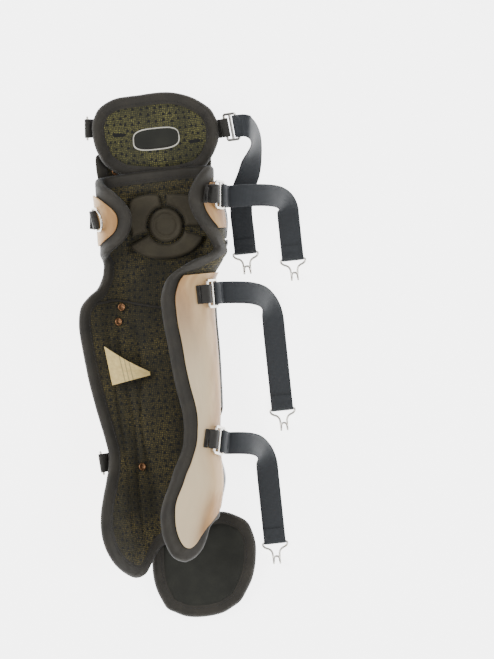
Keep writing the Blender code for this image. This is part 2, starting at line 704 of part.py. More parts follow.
def slider(name, seat, middle):
    """A flat buckle with two slots, its bars across the strap."""
    slot = (SLIDER_DEPTH - 3 * SLIDER_BAR) / 2
    runs = np.cumsum((0.0, SLIDER_BAR, slot, SLIDER_BAR, slot, SLIDER_BAR))
    legs = np.cumsum((-SLIDER_WIDTH / 2, SLIDER_BAR, SLIDER_WIDTH - 2 * SLIDER_BAR, SLIDER_BAR))
    solid = [[not (j == 1 and i in (1, 3)) for j in range(3)] for i in range(5)]
    verts = []
    for lift in (middle - SLIDER_THICK / 2, middle + SLIDER_THICK / 2):
        for r in runs:
            for g in legs:
                verts.append(seat.at(r, g, lift))

    def corner(i, j, top):
        return top * len(runs) * len(legs) + i * len(legs) + j

    faces = []
    for i in range(5):
        for j in range(3):
            if not solid[i][j]:
                continue
            ring = ((i, j), (i + 1, j), (i + 1, j + 1), (i, j + 1))
            for top in (0, 1):
                faces.append(tuple(corner(a, b, top) for a, b in ring))
            for di, dj, a, b in ((-1, 0, (i, j), (i, j + 1)), (1, 0, (i + 1, j), (i + 1, j + 1)),
                                 (0, -1, (i, j), (i + 1, j)), (0, 1, (i, j + 1), (i + 1, j + 1))):
                ni, nj = i + di, j + dj
                if 0 <= ni < 5 and 0 <= nj < 3 and solid[ni][nj]:
                    continue
                faces.append((corner(*a, 0), corner(*b, 0), corner(*b, 1), corner(*a, 1)))
    add_object(name, verts, faces, LOOKS["metal"])


def strap(name, seat, outer, middle, reach, run, route):
    """An elastic strap: round the slider's outer bar, down to the ground, along it and
    round the bar of its hook. Returns the middle of that bar."""
    radius = SLIDER_THICK / 2 + SEAT_GAP + STRAP / 2
    path, across = wrap(seat, outer + STRAP_FOLD, outer + SEAT_GAP, outer - SLIDER_BAR, middle, radius,
                        STRAP, SEAT_GAP, False)
    path, across = path[::-1], across[::-1]
    away = path[-1]
    ground = STRAP / 2 + SEAT_GAP
    table = []
    for out_share, run_share, height, angle in route:
        turn = math.radians(angle)
        table.append((away[0] + out_share * reach * STRAP_REACH, away[1] - run_share * run * STRAP_RUN,
                      ground + height * (away[2] - ground), math.cos(turn), math.sin(turn)))
    path += [np.array(row[:3]) for row in table]
    across += [np.array((row[3], row[4], 0.0)) for row in table]
    last = path[-1]
    bar_radius = WIRE + SEAT_GAP + STRAP / 2
    bar = np.array((last[0], away[1] - run * STRAP_RUN, ground + bar_radius))
    end = [(-r, l) for r, l in arc((0.0, 0.0), bar_radius, -90, 90, 4)]
    end += [(STRAP_TAIL / 2, 0.0), (STRAP_TAIL, STRAP + SEAT_GAP - bar_radius)]
    for r, l in end:
        path.append(bar + np.array((0.0, r, l)))
        across.append(np.array((1.0, 0.0, 0.0)))
    ribbon(name, path, across, STRAP_WIDTH, STRAP, LOOKS["elastic"])
    return bar


def hook(name, bar):
    """A bent wire hook on the end of a strap, its tongue curled back."""
    half = [(w * HOOK_WIDTH / 2, -d * HOOK_LENGTH, h * HOOK_RISE) for w, d, h in HOOK_SHAPE]
    path = [bar + np.array(p) for p in half] + [bar + np.array((-x, y, z)) for x, y, z in reversed(half)]
    tube(name, path, WIRE, LOOKS["metal"], 5)


def buckled_side():
    """Sliders, straps and hooks down the inner side of the leg."""
    bar_radius = SLIDER_THICK / 2 + SEAT_GAP + WEB / 2
    for name, station, turn, skew, lie, reach, run in STRAP_ROWS:
        middle = SEAT_GAP + STRAP + SEAT_GAP + SLIDER_THICK / 2
        if name == "thigh":
            edge = THIGH.edge(THIGH_MEDIAL)[:, 0].max()
            seat = Seat(THIGH, edge, THIGH.y_at(station), ROLL_PROUD, skew, -SLIDER_BAR, True)
        else:
            along = LINER.along_at_turn(station, turn, True)
            height = COVER_SEAT + COVER + lie * WEB_SEAT
            seat = Seat(LINER, along, LINER.y_at(station), height, skew, SLIDER_DEPTH * 0.35)
        tab("slider_tab_" + name, seat, -SLIDER_TAIL, -2 * SEAT_GAP, SLIDER_BAR, middle, bar_radius,
            SEAT_GAP)
        slider("slider_" + name, seat, middle)
        route = HIGH_ROUTE if name == "thigh" else STRAP_ROUTE
        bar = strap("strap_" + name, seat, SLIDER_DEPTH, middle, reach, run, route)
        hook("hook_" + name, bar)


def ring_side():
    """Rings in webbing tabs down the outer side of the leg."""
    radius = WIRE + SEAT_GAP + WEB / 2
    middle = SEAT_GAP + WEB / 2 + radius
    for name, station, beyond, lie, hangs in RING_ROWS:
        panel = THIGH if name == "thigh" else LINER
        y = panel.y_at(station)
        face = (ROLL_PROUD if name == "thigh" else COVER_SEAT + COVER) + lie * WEB_SEAT
        if name == "knee":
            along = LINER.along_at_turn(station, KNEE_RING_TURN, False)
        else:
            edge = panel.edge(THIGH_LATERAL if name == "thigh" else SHIN_LATERAL)
            order = np.argsort(edge[:, 1])
            along = np.interp(y, edge[order, 1], edge[order, 0]) - beyond * panel.width
        seat = Seat(panel, along, y, face)
        tab("ring_tab_" + name, seat, TAB_TAIL * panel.width, 2 * WIRE, 0.0, middle, radius, SEAT_GAP)
        d_ring("d_ring_" + name, seat, middle, hangs)


def rivets():
    for name, x, station in RIVET_ROWS:
        rivet(name, LINER, x * LINER_WIDTH, LINER.y_at(station), PAD + RIVET_SEAT)
    x, station = RIVET_BRIDGE
    rivet("rivet_bridge", BRIDGE, x * THIGH_WIDTH, BRIDGE.y_at(station), THIN_PAD + 1.7 * RIVET_SEAT)


def label():
    """A folded woven label, sewn in at the lateral roll, its tip lying over the lining."""
    def place(spot, lift):
        x, station = spot
        return LINER.point(LINER.along_at_x(x * LINER_WIDTH, station, 0), LINER.y_at(station), PAD + lift)

    top = place(LABEL_TOP, 2 * SEAT_GAP + LABEL)
    bottom = place(LABEL_BOTTOM, 2 * SEAT_GAP + LABEL)
    tip = place(LABEL_TIP, LABEL_LIFT)
    steps = 5
    inner = np.zeros((steps, steps, 3))
    for j in range(steps):
        for i in range(steps):
            edge = top + (bottom - top) * i / (steps - 1)
            end = tip + np.array((0.0, LABEL_TIP_WIDTH * (0.5 - i / (steps - 1)), 0.0))
            rise = LABEL_LIFT * 0.35 * math.sin(math.pi * j / (steps - 1))
            inner[j, i] = edge + (end - edge) * j / (steps - 1) + np.array((0.0, 0.0, rise))
    grid_solid("label_flap", inner, inner - np.array((0.0, 0.0, LABEL)), LOOKS["label"])


LOOKS = {}


def looks():
    LOOKS["binding"] = material("binding", (0.035, 0.033, 0.030), 0.85)
    LOOKS["mesh"] = material("lining_mesh", (0.050, 0.047, 0.025), 0.90)
    LOOKS["foam"] = material("cushion", (0.045, 0.040, 0.032), 0.80)
    LOOKS["shell"] = material("shell_plastic", (0.012, 0.012, 0.013), 0.25)
    LOOKS["tan"] = material("tan_cover", (0.60, 0.45, 0.30), 0.50)
    LOOKS["webbing"] = material("webbing", (0.030, 0.028, 0.026), 0.80)
    LOOKS["elastic"] = material("elastic", (0.045, 0.052, 0.060), 0.75)
    LOOKS["metal"] = material("plated_metal", (0.60, 0.58, 0.54), 0.30, 1.0)
    LOOKS["copper"] = material("rivet_metal", (0.50, 0.27, 0.12), 0.35, 1.0)
    LOOKS["label"] = material("label", (0.78, 0.69, 0.45), 0.70)


# Shares across the lining at which its grid has a column: close together round the bend
LINER_COLUMNS = (0.0, 0.07, 0.14, 0.21, 0.28, 0.40, 0.51, 0.56, 0.61, 0.66, 0.71, 0.76, 0.82, 0.88,
                 0.94, 1.0)
KNEE_ROWS = 13
SHIN_ROWS = 22


def bound_panel(panel, edges, u, rows):
    """Edge points of a pad: top, bottom, left and right, sampled for its grid."""
    top, bottom, left, right = (panel.edge(rows_of) for rows_of in edges)
    v = np.linspace(0.0, 1.0, rows)
    return smooth_path(top, u), smooth_path(bottom, u), smooth_path(left, v), smooth_path(right, v)


def split_inset(top, right, bottom, left, distance):
    """The four edges of a pad moved inwards by the width of its edge roll."""
    loop = np.concatenate((top[:-1], right[:-1], bottom[::-1][:-1], left[::-1][:-1]))
    inner = inset(loop, distance)
    a = len(top) - 1
    b = a + len(right) - 1
    c = b + len(bottom) - 1
    closed = np.concatenate((inner, inner[:1]))
    return loop, inner, closed[:a + 1], closed[a:b + 1], closed[b:c + 1][::-1], closed[c:][::-1]


def pad_profile(thick, edge):
    """Height of a pad's face: its edge thickness at the border, full within."""
    def high(v, u):
        border = min(u, 1 - u, v, 1 - v)
        return edge + (thick - edge) * min(border / PAD_BORDER, 1.0)
    return high


def simple_pad(name, roll_name, panel, edges, columns, rows, thick, edge):
    """A pad with one edge roll all round."""
    u = np.linspace(0.0, 1.0, columns)
    top, bottom, left, right = bound_panel(panel, edges, u, rows)
    loop, inner, top, right, bottom, left = split_inset(top, right, bottom, left, ROLL_WIDTH)
    grid = patch(top, bottom, left, right, u, np.linspace(0.0, 1.0, rows))
    panel_solid(name, panel, grid, lambda v, s: 0.0, pad_profile(thick, edge), LOOKS["mesh"])
    edge_roll(roll_name, panel, loop, inner, edge, LOOKS["binding"])
    return grid


def liner():
    """The lining from knee to ankle: one edge roll round two pads that meet at a seam."""
    u = np.array(LINER_COLUMNS)
    v_knee = np.linspace(0.0, 1.0, KNEE_ROWS)
    v_shin = np.linspace(0.0, 1.0, SHIN_ROWS)
    top = smooth_path(LINER.edge(LINER_TOP), u)
    seam = smooth_path(LINER.edge(LINER_SEAM), u)
    hem = smooth_path(LINER.edge(LINER_HEM), u)
    left = np.concatenate((smooth_path(LINER.edge(KNEE_LATERAL), v_knee),
                           smooth_path(LINER.edge(SHIN_LATERAL), v_shin)[1:]))
    right = np.concatenate((smooth_path(LINER.edge(KNEE_MEDIAL), v_knee),
                            smooth_path(LINER.edge(SHIN_MEDIAL), v_shin)[1:]))
    loop, inner, top, right, hem, left = split_inset(top, right, hem, left, ROLL_WIDTH)
    edge_roll("liner_binding", LINER, loop, inner, PAD_EDGE, LOOKS["binding"])

    split = KNEE_ROWS - 1
    shift_left = left[split] - seam[0]
    shift_right = right[split] - seam[-1]
    seam = seam + (1 - u)[:, None] * shift_left + u[:, None] * shift_right
    half = np.array((0.0, LAYER_GAP / 2))
    for name, edges, v, shift, which in (
            ("knee_pad", (top, seam, left[:split + 1], right[:split + 1]), v_knee, half, "bottom"),
            ("shin_pad", (seam, hem, left[split:], right[split:]), v_shin, -half, "top")):
        grid = patch(*edges, u, v)
        row = -1 if which == "bottom" else 0
        grid[row] += shift
        panel_solid(name, LINER, grid, lambda s, t: 0.0, pad_profile(PAD, PAD_EDGE), LOOKS["mesh"])
    return left, right, hem


def wing_cover(name, edge, border, columns):
    """A thin cover on a wing's outer face, from the edge roll to the plate."""
    rows = len(edge)
    grid = np.zeros((rows, columns, 2))
    for j in range(rows):
        for i in range(columns):
            grid[j, i] = border[j] + (edge[j] - border[j]) * i / (columns - 1)
    def seat(v):
        return COVER_SEAT + TWIST_GAP * (1 - fade(v, 0.0, 0.15))

    panel_solid(name, LINER, grid, lambda v, u: -seat(v) - COVER, lambda v, u: -seat(v), LOOKS["tan"])


def cover_border(y, medial):
    """Signed distance along the section to the border between a plate and a cover."""
    station = liner_station(y)
    if medial or station < 1.0:
        return LINER.along_at_turn(station, COVER_TURN, medial)
    return lateral_border(station) - 2 * SEAT_GAP


def trimmed(edge, border):
    """An edge drawn back a little from its edge roll."""
    way = border - edge
    return edge + way * (COVER_TRIM / np.linalg.norm(way, axis=1))[:, None]


def covers(left, right, hem):
    """Tan covers of the four wings, split where the lining is narrowest."""
    for side, edge, medial in (("lateral", left, False), ("medial", right, True)):
        room = np.array([abs(a) - abs(cover_border(y, medial)) for a, y in edge])
        neck = KNEE_ROWS // 3 + int(np.argmin(room[KNEE_ROWS // 3:KNEE_ROWS + 3]))
        knee = [k for k in range(1, neck) if room[k] > COVER_STRIP]
        shin = [k for k in range(neck + 3, len(edge) - 1) if room[k] > COVER_STRIP]
        span = edge[knee]
        border = np.array([(cover_border(y, medial), y) for _, y in span])
        wing_cover("knee_cover_" + side, trimmed(span, border), border, 4)
        span = edge[shin]
        ends = span[:, 1]
        if medial:
            span = np.concatenate((span, hem[::-1][:COVER_HEM_ROWS]))
            ends = np.linspace(span[0][1], liner_y(COVER_END), len(span))
        border = np.array([(cover_border(y, medial), y) for y in ends])
        wing_cover("shin_cover_" + side, trimmed(span, border), border, 5 if medial else 3)


def lateral_border(station):
    """Signed distance along the section to the shin plate's lateral edge."""
    flat, bend, turn = LINER.side(station, False)
    return -(flat + bend * turn * LATERAL_BORDER)


def plate(name, panel, stations, reach, columns, outward, look, floor=None, seat=0.0):
    """A hard plate on a panel's outer face. reach gives its two borders at a station,
    outward its thickness from the row and column shares, and seat its extra distance."""
    grid = np.zeros((len(stations), columns, 2))
    for j, station in enumerate(stations):
        low, high = reach(station)
        for i in range(columns):
            grid[j, i] = (low + (high - low) * i / (columns - 1), panel.y_at(station))
    seat += LAYER_GAP
    panel_solid(name, panel, grid, lambda v, u: -seat - outward(v, u), lambda v, u: -seat, look, floor)


def bulge(v, u, power=2.0):
    """1 in the middle of a plate, 0 at its borders."""
    return (1 - abs(2 * u - 1) ** power) * (1 - abs(2 * v - 1) ** power)


def fade(value, start, end):
    """0 before start, 1 after end, smooth between."""
    t = clamp((value - start) / (end - start), 0.0, 1.0)
    return t * t * (3 - 2 * t)


def shells():
    """The hard plates, from the thigh to the foot."""
    black = LOOKS["shell"]

    def thigh_reach(station):
        half = THIGH_SHELL_HALF * THIGH_WIDTH * (1 - 0.5 * abs(2 * station - 0.94) ** 3)
        return -half, half

    plate("thigh_shell", THIGH, np.linspace(*THIGH_SHELL_SPAN, 7), thigh_reach, 9,
          lambda v, u: SHELL + RIDGE * bulge(v, u) * (1 - v), black)
    low, high = BRIDGE_SHELL_REACH
    plate("upper_knee_shell", BRIDGE, np.linspace(*BRIDGE_SHELL_SPAN, 4),
          lambda s: (low * THIGH_WIDTH, high * THIGH_WIDTH), 9, lambda v, u: SHELL, black,
          seat=ROLL_PROUD)

    def knee_reach(station):
        lateral = LINER.along_at_turn(station, SHELL_TURN - 8, False)
        return lateral, LINER.along_at_turn(station, SHELL_TURN, True)

    def neck_reach(station):
        turn = SHELL_TURN - 40 * fade(station, 0.84, 0.97)
        return LINER.along_at_turn(station, turn - 20, False), LINER.along_at_turn(station, turn, True)

    plate("knee_cap", LINER, np.linspace(*KNEE_CAP_SPAN, 9), knee_reach, 13,
          lambda v, u: SHELL + KNEE_CAP_RISE * KNEE_LIFT * bulge(v, u, 2.6), black, 0.0)
    plate("lower_knee_shell", LINER, np.linspace(*LOWER_KNEE_SPAN, 5), neck_reach, 13,
          lambda v, u: SHELL + RIDGE * bulge(v, u), black, seat=TWIST_GAP)

    def shin_reach(station):
        full = LINER.along_at_turn(station, SHELL_TURN - 34 * (1 - fade(station, 1.07, 1.15)), True)
        flat = LINER.side(station, True)[0]
        return (lateral_border(station) * (0.75 + 0.25 * fade(station, 1.05, 1.15)),
                full + (flat * NOTCH_FLAT - full) * fade(station, *SHIN_NOTCH))

    def shin_out(v, u):
        along = math.sin(math.pi * clamp(v * 1.1, 0, 1)) ** 0.5
        ridge = RIDGE * max(0.0, 1 - abs(u - RIDGE_PLACE) / RIDGE_HALF) * along
        lip = SHELL_LIP if u > 0.96 or u < 0.04 else 0.0
        return SHELL + ridge + lip

    rows = np.concatenate((np.linspace(SHIN_SHELL_SPAN[0], 1.17, 4), np.linspace(1.24, 1.50, 4),
                           np.linspace(1.54, 1.68, 7), np.linspace(1.73, SHIN_SHELL_SPAN[1], 4)))
    plate("shin_shell", LINER, rows, shin_reach, 13, shin_out, black, seat=TWIST_GAP)

    def ankle_reach(station):
        flat = LINER.side(station, True)[0]
        return flat * NOTCH_FLAT + 2 * LAYER_GAP, LINER.along_at_turn(station, SHELL_TURN, True)

    plate("ankle_cap", LINER, np.linspace(*ANKLE_CAP_SPAN, 7), ankle_reach, 8,
          lambda v, u: SHELL + ANKLE_BULGE * bulge(v, u), black)
    plate("foot_shell", FOOT, np.linspace(*FOOT_SHELL_SPAN, 7), foot_reach, 8, lambda v, u: SHELL, black,
          0.0)


def foot_reach(station):
    half = FOOT_WIDTH * (FOOT_SHELL_HALF - FOOT_SHELL_TAPER * clamp((station - 0.50) / 0.45, 0, 1) ** 2)
    return -half, half


def sector(name, rows, look):
    """A cushion segment round the knee disc."""
    rows = np.array(rows, dtype=float)
    angles = np.linspace(rows[0, 0], rows[-1, 0], 7)
    radii = np.interp(angles, rows[:, 0], rows[:, 1]) * DISC_RADIUS
    start = DISC_RADIUS + DISC_GROOVE
    grid = np.zeros((4, len(angles), 2))
    centre = np.array((-LINER.middle(0.58), DISC_Y))
    for j in range(4):
        for i, angle in enumerate(angles):
            radius = start + (radii[i] - start) * j / 3
            turn = math.radians(angle)
            grid[j, i] = centre + radius * np.array((math.cos(turn), math.sin(turn)))
    low = PAD + LAYER_GAP
    panel_solid(name, LINER, grid, lambda v, u: low,
                lambda v, u: low + CUSHION * (0.45 + 0.55 * bulge(v, u, 4.0)), look)


def knee_cushion():
    look = LOOKS["foam"]
    for name, rows in (("knee_segment_lateral", SEGMENT_LATERAL), ("knee_segment_medial", SEGMENT_MEDIAL),
                       ("knee_segment_lower", SEGMENT_LOWER)):
        sector(name, rows, look)
    centre = np.array((-LINER.middle(0.58), DISC_Y))
    low = PAD + LAYER_GAP
    verts = []
    rings = ((1.0, 0.0), (1.0, 0.55), (0.85, 0.85), (0.5, 1.0))
    sides = 18
    for share, level in rings:
        for k in range(sides):
            angle = 2 * math.pi * k / sides
            place = centre + share * DISC_RADIUS * np.array((math.cos(angle), math.sin(angle)))
            verts.append(LINER.point(place[0], place[1], low + level * CUSHION))
    faces = [tuple(range(sides)), tuple(3 * sides + k for k in reversed(range(sides)))]
    for ring in range(3):
        for k in range(sides):
            after = (k + 1) % sides
            a = ring * sides
            faces.append((a + k, a + after, a + sides + after, a + sides + k))
    add_object("knee_disc", verts, faces, look)


def rivet(name, panel, x, y, base):
    """A round rivet head on the lining's inner face."""
    along = panel.along_at_x(x, panel.station_at(y), 0)
    centre = panel.point(along, y, base)
    normal = panel.point(along, y, base + 0.001) - centre
    normal /= np.linalg.norm(normal)
    side = np.cross(normal, (0.0, 1.0, 0.0))
    side /= np.linalg.norm(side)
    other = np.cross(normal, side)
    sides = 10
    verts = []
    for share, level in ((1.0, 0.0), (1.0, 0.4), (0.62, 1.0)):
        for k in range(sides):
            angle = 2 * math.pi * k / sides
            verts.append(centre + normal * level * RIVET_HEIGHT
                         + RIVET_RADIUS * share * (math.cos(angle) * side + math.sin(angle) * other))
    faces = [tuple(range(sides)), tuple(2 * sides + k for k in reversed(range(sides)))]
    for ring in range(2):
        for k in range(sides):
            after = (k + 1) % sides
            a = ring * sides
            faces.append((a + k, a + after, a + sides + after, a + sides + k))
    add_object(name, verts, faces, LOOKS["copper"])


def main():
    for old in list(bpy.data.objects):
        bpy.data.objects.remove(old, do_unlink=True)
    looks()
    left, right, hem = liner()
    simple_pad("thigh_pad", "thigh_binding", THIGH, (THIGH_TOP, THIGH_BOTTOM, THIGH_LATERAL, THIGH_MEDIAL),
               12, 8, PAD, PAD_EDGE)
    simple_pad("bridge_pad", "bridge_binding", BRIDGE,
               (BRIDGE_TOP, BRIDGE_BOTTOM, BRIDGE_LATERAL, BRIDGE_MEDIAL), 12, 4, THIN_PAD, THIN_PAD)
    simple_pad("foot_pad", "foot_binding", FOOT, (FOOT_TOP, FOOT_BOTTOM, FOOT_LATERAL, FOOT_MEDIAL),
               9, 8, PAD, PAD_EDGE)
    covers(left, right, hem)
    shells()
    knee_cushion()
    buckled_side()
    ring_side()
    rivets()
    label()


main()
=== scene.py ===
"""Looks of a catcher's leg guard that lies on its shells, padded side up.

Every panel of the guard is a bent sheet: sections at stations along the leg say how it
curves, and a pattern point is (distance along the section, y). Pads, edge rolls, covers
and plates are grids of pattern points at a height over the panel's outer face.
Metres, +Y from ankle to thigh, +X towards the inner side of the leg.
"""

import math

import bpy
import numpy as np
from mathutils import Matrix, Vector


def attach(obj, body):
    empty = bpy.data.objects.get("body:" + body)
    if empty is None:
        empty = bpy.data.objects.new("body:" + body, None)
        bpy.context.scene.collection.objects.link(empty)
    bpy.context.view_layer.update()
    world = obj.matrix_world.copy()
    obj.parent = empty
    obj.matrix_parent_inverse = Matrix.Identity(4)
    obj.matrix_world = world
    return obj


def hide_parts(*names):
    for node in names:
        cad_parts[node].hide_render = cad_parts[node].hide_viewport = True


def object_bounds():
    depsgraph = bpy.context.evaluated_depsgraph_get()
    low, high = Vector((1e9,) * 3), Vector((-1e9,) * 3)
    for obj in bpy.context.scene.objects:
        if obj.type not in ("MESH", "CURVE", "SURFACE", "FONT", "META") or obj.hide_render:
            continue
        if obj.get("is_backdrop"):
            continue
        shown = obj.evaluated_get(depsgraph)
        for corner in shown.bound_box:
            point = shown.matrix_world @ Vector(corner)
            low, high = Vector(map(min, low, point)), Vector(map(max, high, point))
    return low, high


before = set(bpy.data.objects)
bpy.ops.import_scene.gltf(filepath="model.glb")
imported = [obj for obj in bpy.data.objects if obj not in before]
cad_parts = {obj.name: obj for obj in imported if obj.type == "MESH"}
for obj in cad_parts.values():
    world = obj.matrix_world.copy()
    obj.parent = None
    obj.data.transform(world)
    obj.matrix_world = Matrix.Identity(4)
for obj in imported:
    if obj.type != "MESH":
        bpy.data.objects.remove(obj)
CAD_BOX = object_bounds()

# Lengths of the panels along the leg
KNEE_TOP = 0.057
KNEE_LENGTH = 0.105
SHIN_LENGTH = 0.316
THIGH_LENGTH = 0.095
THIGH_TUCK = 0.008
FOOT_LENGTH = 0.116
FOOT_TUCK = 0.028

# Widths across the leg, seen from above
LINER_WIDTH = 0.150
THIGH_WIDTH = 0.146
FOOT_WIDTH = 0.122

# Heights of the lining's outer face over the ground
KNEE_LIFT = 0.023
THIGH_RISE = 0.020

# Thicknesses
PAD = 0.010
PAD_EDGE = 0.008
THIN_PAD = 0.004
SHELL = 0.003
SHELL_LIP = 0.003
RIDGE = 0.005
ANKLE_BULGE = 0.013
COVER = 0.0012
CUSHION = 0.006
LABEL = 0.0008

# Edge roll: width on the face and how far it stands proud of the pad
ROLL_WIDTH = 0.013
ROLL_PROUD = 0.0012

# Clearances between layers, and between a small piece and its seat
LAYER_GAP = 0.0009
TWIST_GAP = 0.0011
SEAT_GAP = 0.0004
WEB_SEAT = 0.0009

# Knee cushion
DISC_RADIUS = 0.019
DISC_GROOVE = 0.003
DISC_Y = -0.005

# Hardware
WEB_WIDTH = 0.021
WEB = 0.0014
STRAP_WIDTH = 0.025
STRAP = 0.0018
WIRE = 0.0013
RING_WIDTH = 0.0255
RING_DEPTH = 0.016
RING_ARM = 0.30
SLIDER_WIDTH = 0.0325
SLIDER_DEPTH = 0.019
SLIDER_BAR = 0.003
SLIDER_THICK = 0.002
HOOK_WIDTH = 0.028
HOOK_LENGTH = 0.026
RIVET_RADIUS = 0.0046
RIVET_HEIGHT = 0.0016
RIVET_SEAT = 0.0010

# Narrowest strip of a wing that its cover reaches, and rows that it takes round the lobe
COVER_STRIP = 0.008
COVER_HEM_ROWS = 4
COVER_TRIM = 0.0015
COVER_END = 1.86
COVER_SEAT = LAYER_GAP + 0.6 * TWIST_GAP

# How far up its bend, in degrees, a plate and the cover beyond it reach
SHELL_TURN = 74.0
COVER_TURN = 82.0

# First and last station of each plate, and the stations between which the shin plate
# draws back on its inner side to make room for the ankle cap
THIGH_SHELL_SPAN = (0.24, 0.75)
BRIDGE_SHELL_SPAN = (0.68, 1.07)
KNEE_CAP_SPAN = (0.18, 0.80)
LOWER_KNEE_SPAN = (0.815, 1.035)
SHIN_SHELL_SPAN = (1.05, 1.89)
SHIN_NOTCH = (1.53, 1.69)
ANKLE_CAP_SPAN = (1.70, 1.87)
FOOT_SHELL_SPAN = (0.18, 0.82)

# Reach of the flatter plates as shares of their panel's width, the height of the knee cap
# as a share of KNEE_LIFT, and the lateral border of the shin plate as a share of the bend
THIGH_SHELL_HALF = 0.36
BRIDGE_SHELL_REACH = (-0.40, 0.36)
FOOT_SHELL_HALF = 0.31
FOOT_SHELL_TAPER = 0.22
KNEE_CAP_RISE = 1.35
LATERAL_BORDER = 0.80

# The shin plate's ridge: where it lies across the plate and how wide it is, as shares
RIDGE_PLACE = 0.45
RIDGE_HALF = 0.16

# Share of a pad over which its face rises from the edge roll, and of the flat lining past
# which the ankle cap starts
PAD_BORDER = 0.05
NOTCH_FLAT = 0.5

# Section rows: station, then shares of the panel's width for the middle line and shares
# of its lift for the floor, then flat, bend radius and turn in degrees on each side.
SECTION_COLUMNS = ("station", "centre", "floor",
                   "flat_l", "bend_l", "turn_l", "flat_m", "bend_m", "turn_m")

LINER_SECTIONS = (
    (-0.05, -0.040, 1.70, 0.267, 0.180, 115, 0.253, 0.187, 125),
    (0.00, -0.040, 1.65, 0.267, 0.180, 125, 0.253, 0.187, 130),
    (0.26, -0.040, 1.35, 0.280, 0.180, 150, 0.260, 0.180, 148),
    (0.54, -0.040, 1.00, 0.287, 0.173, 152, 0.300, 0.173, 150),
    (0.83, -0.040, 0.87, 0.290, 0.180, 140, 0.293, 0.180, 145),
    (1.00, -0.047, 0.80, 0.280, 0.190, 95, 0.270, 0.190, 145),
    (1.07, -0.073, 0.74, 0.220, 0.300, 58, 0.195, 0.193, 150),
    (1.16, -0.093, 0.72, 0.200, 0.367, 47, 0.180, 0.200, 155),
    (1.35, -0.093, 0.75, 0.190, 0.387, 45, 0.167, 0.200, 155),
    (1.52, -0.093, 0.80, 0.175, 0.387, 45, 0.147, 0.200, 155),
    (1.67, -0.093, 0.87, 0.160, 0.350, 50, 0.120, 0.193, 152),
    (1.80, -0.087, 0.93, 0.160, 0.333, 48, 0.107, 0.193, 150),
    (1.93, -0.087, 1.00, 0.165, 0.333, 45, 0.073, 0.180, 150),
    (2.15, -0.087, 1.10, 0.173, 0.333, 42, 0.040, 0.173, 150),
)

THIGH_SECTIONS = (
    (-0.10, 0.000, 1.10, 0.150, 0.620, 36, 0.150, 0.620, 36),
    (0.45, -0.010, 0.55, 0.190, 0.420, 36, 0.190, 0.420, 36),
    (0.90, -0.027, 0.10, 0.240, 0.280, 36, 0.240, 0.280, 36),
    (1.25, -0.027, -0.20, 0.240, 0.280, 36, 0.240, 0.280, 36),
)

FOOT_SECTIONS = (
    (-0.20, 0.033, 1.20, 0.200, 0.900, 30, 0.200, 0.900, 30),
    (1.20, 0.033, -0.20, 0.200, 0.900, 30, 0.200, 0.900, 30),
)

# Edges: share of the panel's width from its middle line x=0, station, and 1 where the
# edge has curled past the widest place of its side.
LINER_TOP = (
    (-0.487, 0.03, 1), (-0.300, 0.00, 0), (-0.040, -0.01, 0), (0.200, -0.01, 0), (0.373, 0.02, 1),
)
KNEE_LATERAL = (
    (-0.487, 0.03, 1), (-0.413, 0.14, 1), (-0.333, 0.257, 1), (-0.273, 0.371, 1), (-0.260, 0.486, 1),
    (-0.280, 0.62, 1), (-0.330, 0.714, 1), (-0.410, 0.79, 1), (-0.480, 0.86, 1), (-0.505, 0.94, 1),
    (-0.527, 1.03, 0), (-0.570, 1.063, 0), (-0.640, 1.089, 0),
)
SHIN_LATERAL = (
    (-0.640, 1.089, 0), (-0.707, 1.125, 0), (-0.733, 1.175, 0), (-0.733, 1.256, 0), (-0.713, 1.367, 0),
    (-0.680, 1.478, 0), (-0.633, 1.600, 0), (-0.617, 1.665, 0), (-0.653, 1.75, 0), (-0.707, 1.839, 0),
    (-0.727, 1.940, 0), (-0.687, 2.022, 0), (-0.607, 2.079, 0), (-0.520, 2.108, 0),
)
KNEE_MEDIAL = (
    (0.373, 0.02, 1), (0.291, 0.123, 1), (0.223, 0.279, 1), (0.208, 0.416, 1), (0.243, 0.547, 1),
    (0.299, 0.708, 1), (0.355, 0.830, 1), (0.370, 0.91, 1), (0.262, 0.97, 1), (0.060, 1.032, 1),
    (-0.045, 1.085, 1), (-0.077, 1.136, 1),
)
SHIN_MEDIAL = (
    (-0.077, 1.136, 1), (-0.077, 1.21, 1), (-0.060, 1.29, 1), (-0.049, 1.373, 1), (-0.027, 1.465, 1),
    (-0.003, 1.56, 1), (-0.027, 1.655, 1), (-0.133, 1.76, 1), (-0.220, 1.848, 1), (-0.247, 1.924, 1),
    (-0.230, 1.99, 1), (-0.180, 2.043, 1), (-0.107, 2.063, 1),
)
LINER_HEM = (
    (-0.520, 2.108, 0), (-0.440, 2.098, 0), (-0.373, 2.057, 0), (-0.280, 2.006, 0), (-0.087, 1.990, 0),
    (0.050, 1.965, 0), (0.155, 1.935, 0), (0.120, 1.945, 1), (0.060, 2.005, 1), (-0.007, 2.047, 1),
    (-0.107, 2.063, 1),
)
LINER_SEAM = (
    (-0.640, 1.089, 0), (-0.473, 1.087, 0), (-0.333, 1.104, 0), (-0.087, 1.136, 0), (0.130, 1.136, 0),
    (0.200, 1.136, 1), (-0.077, 1.136, 1),
)

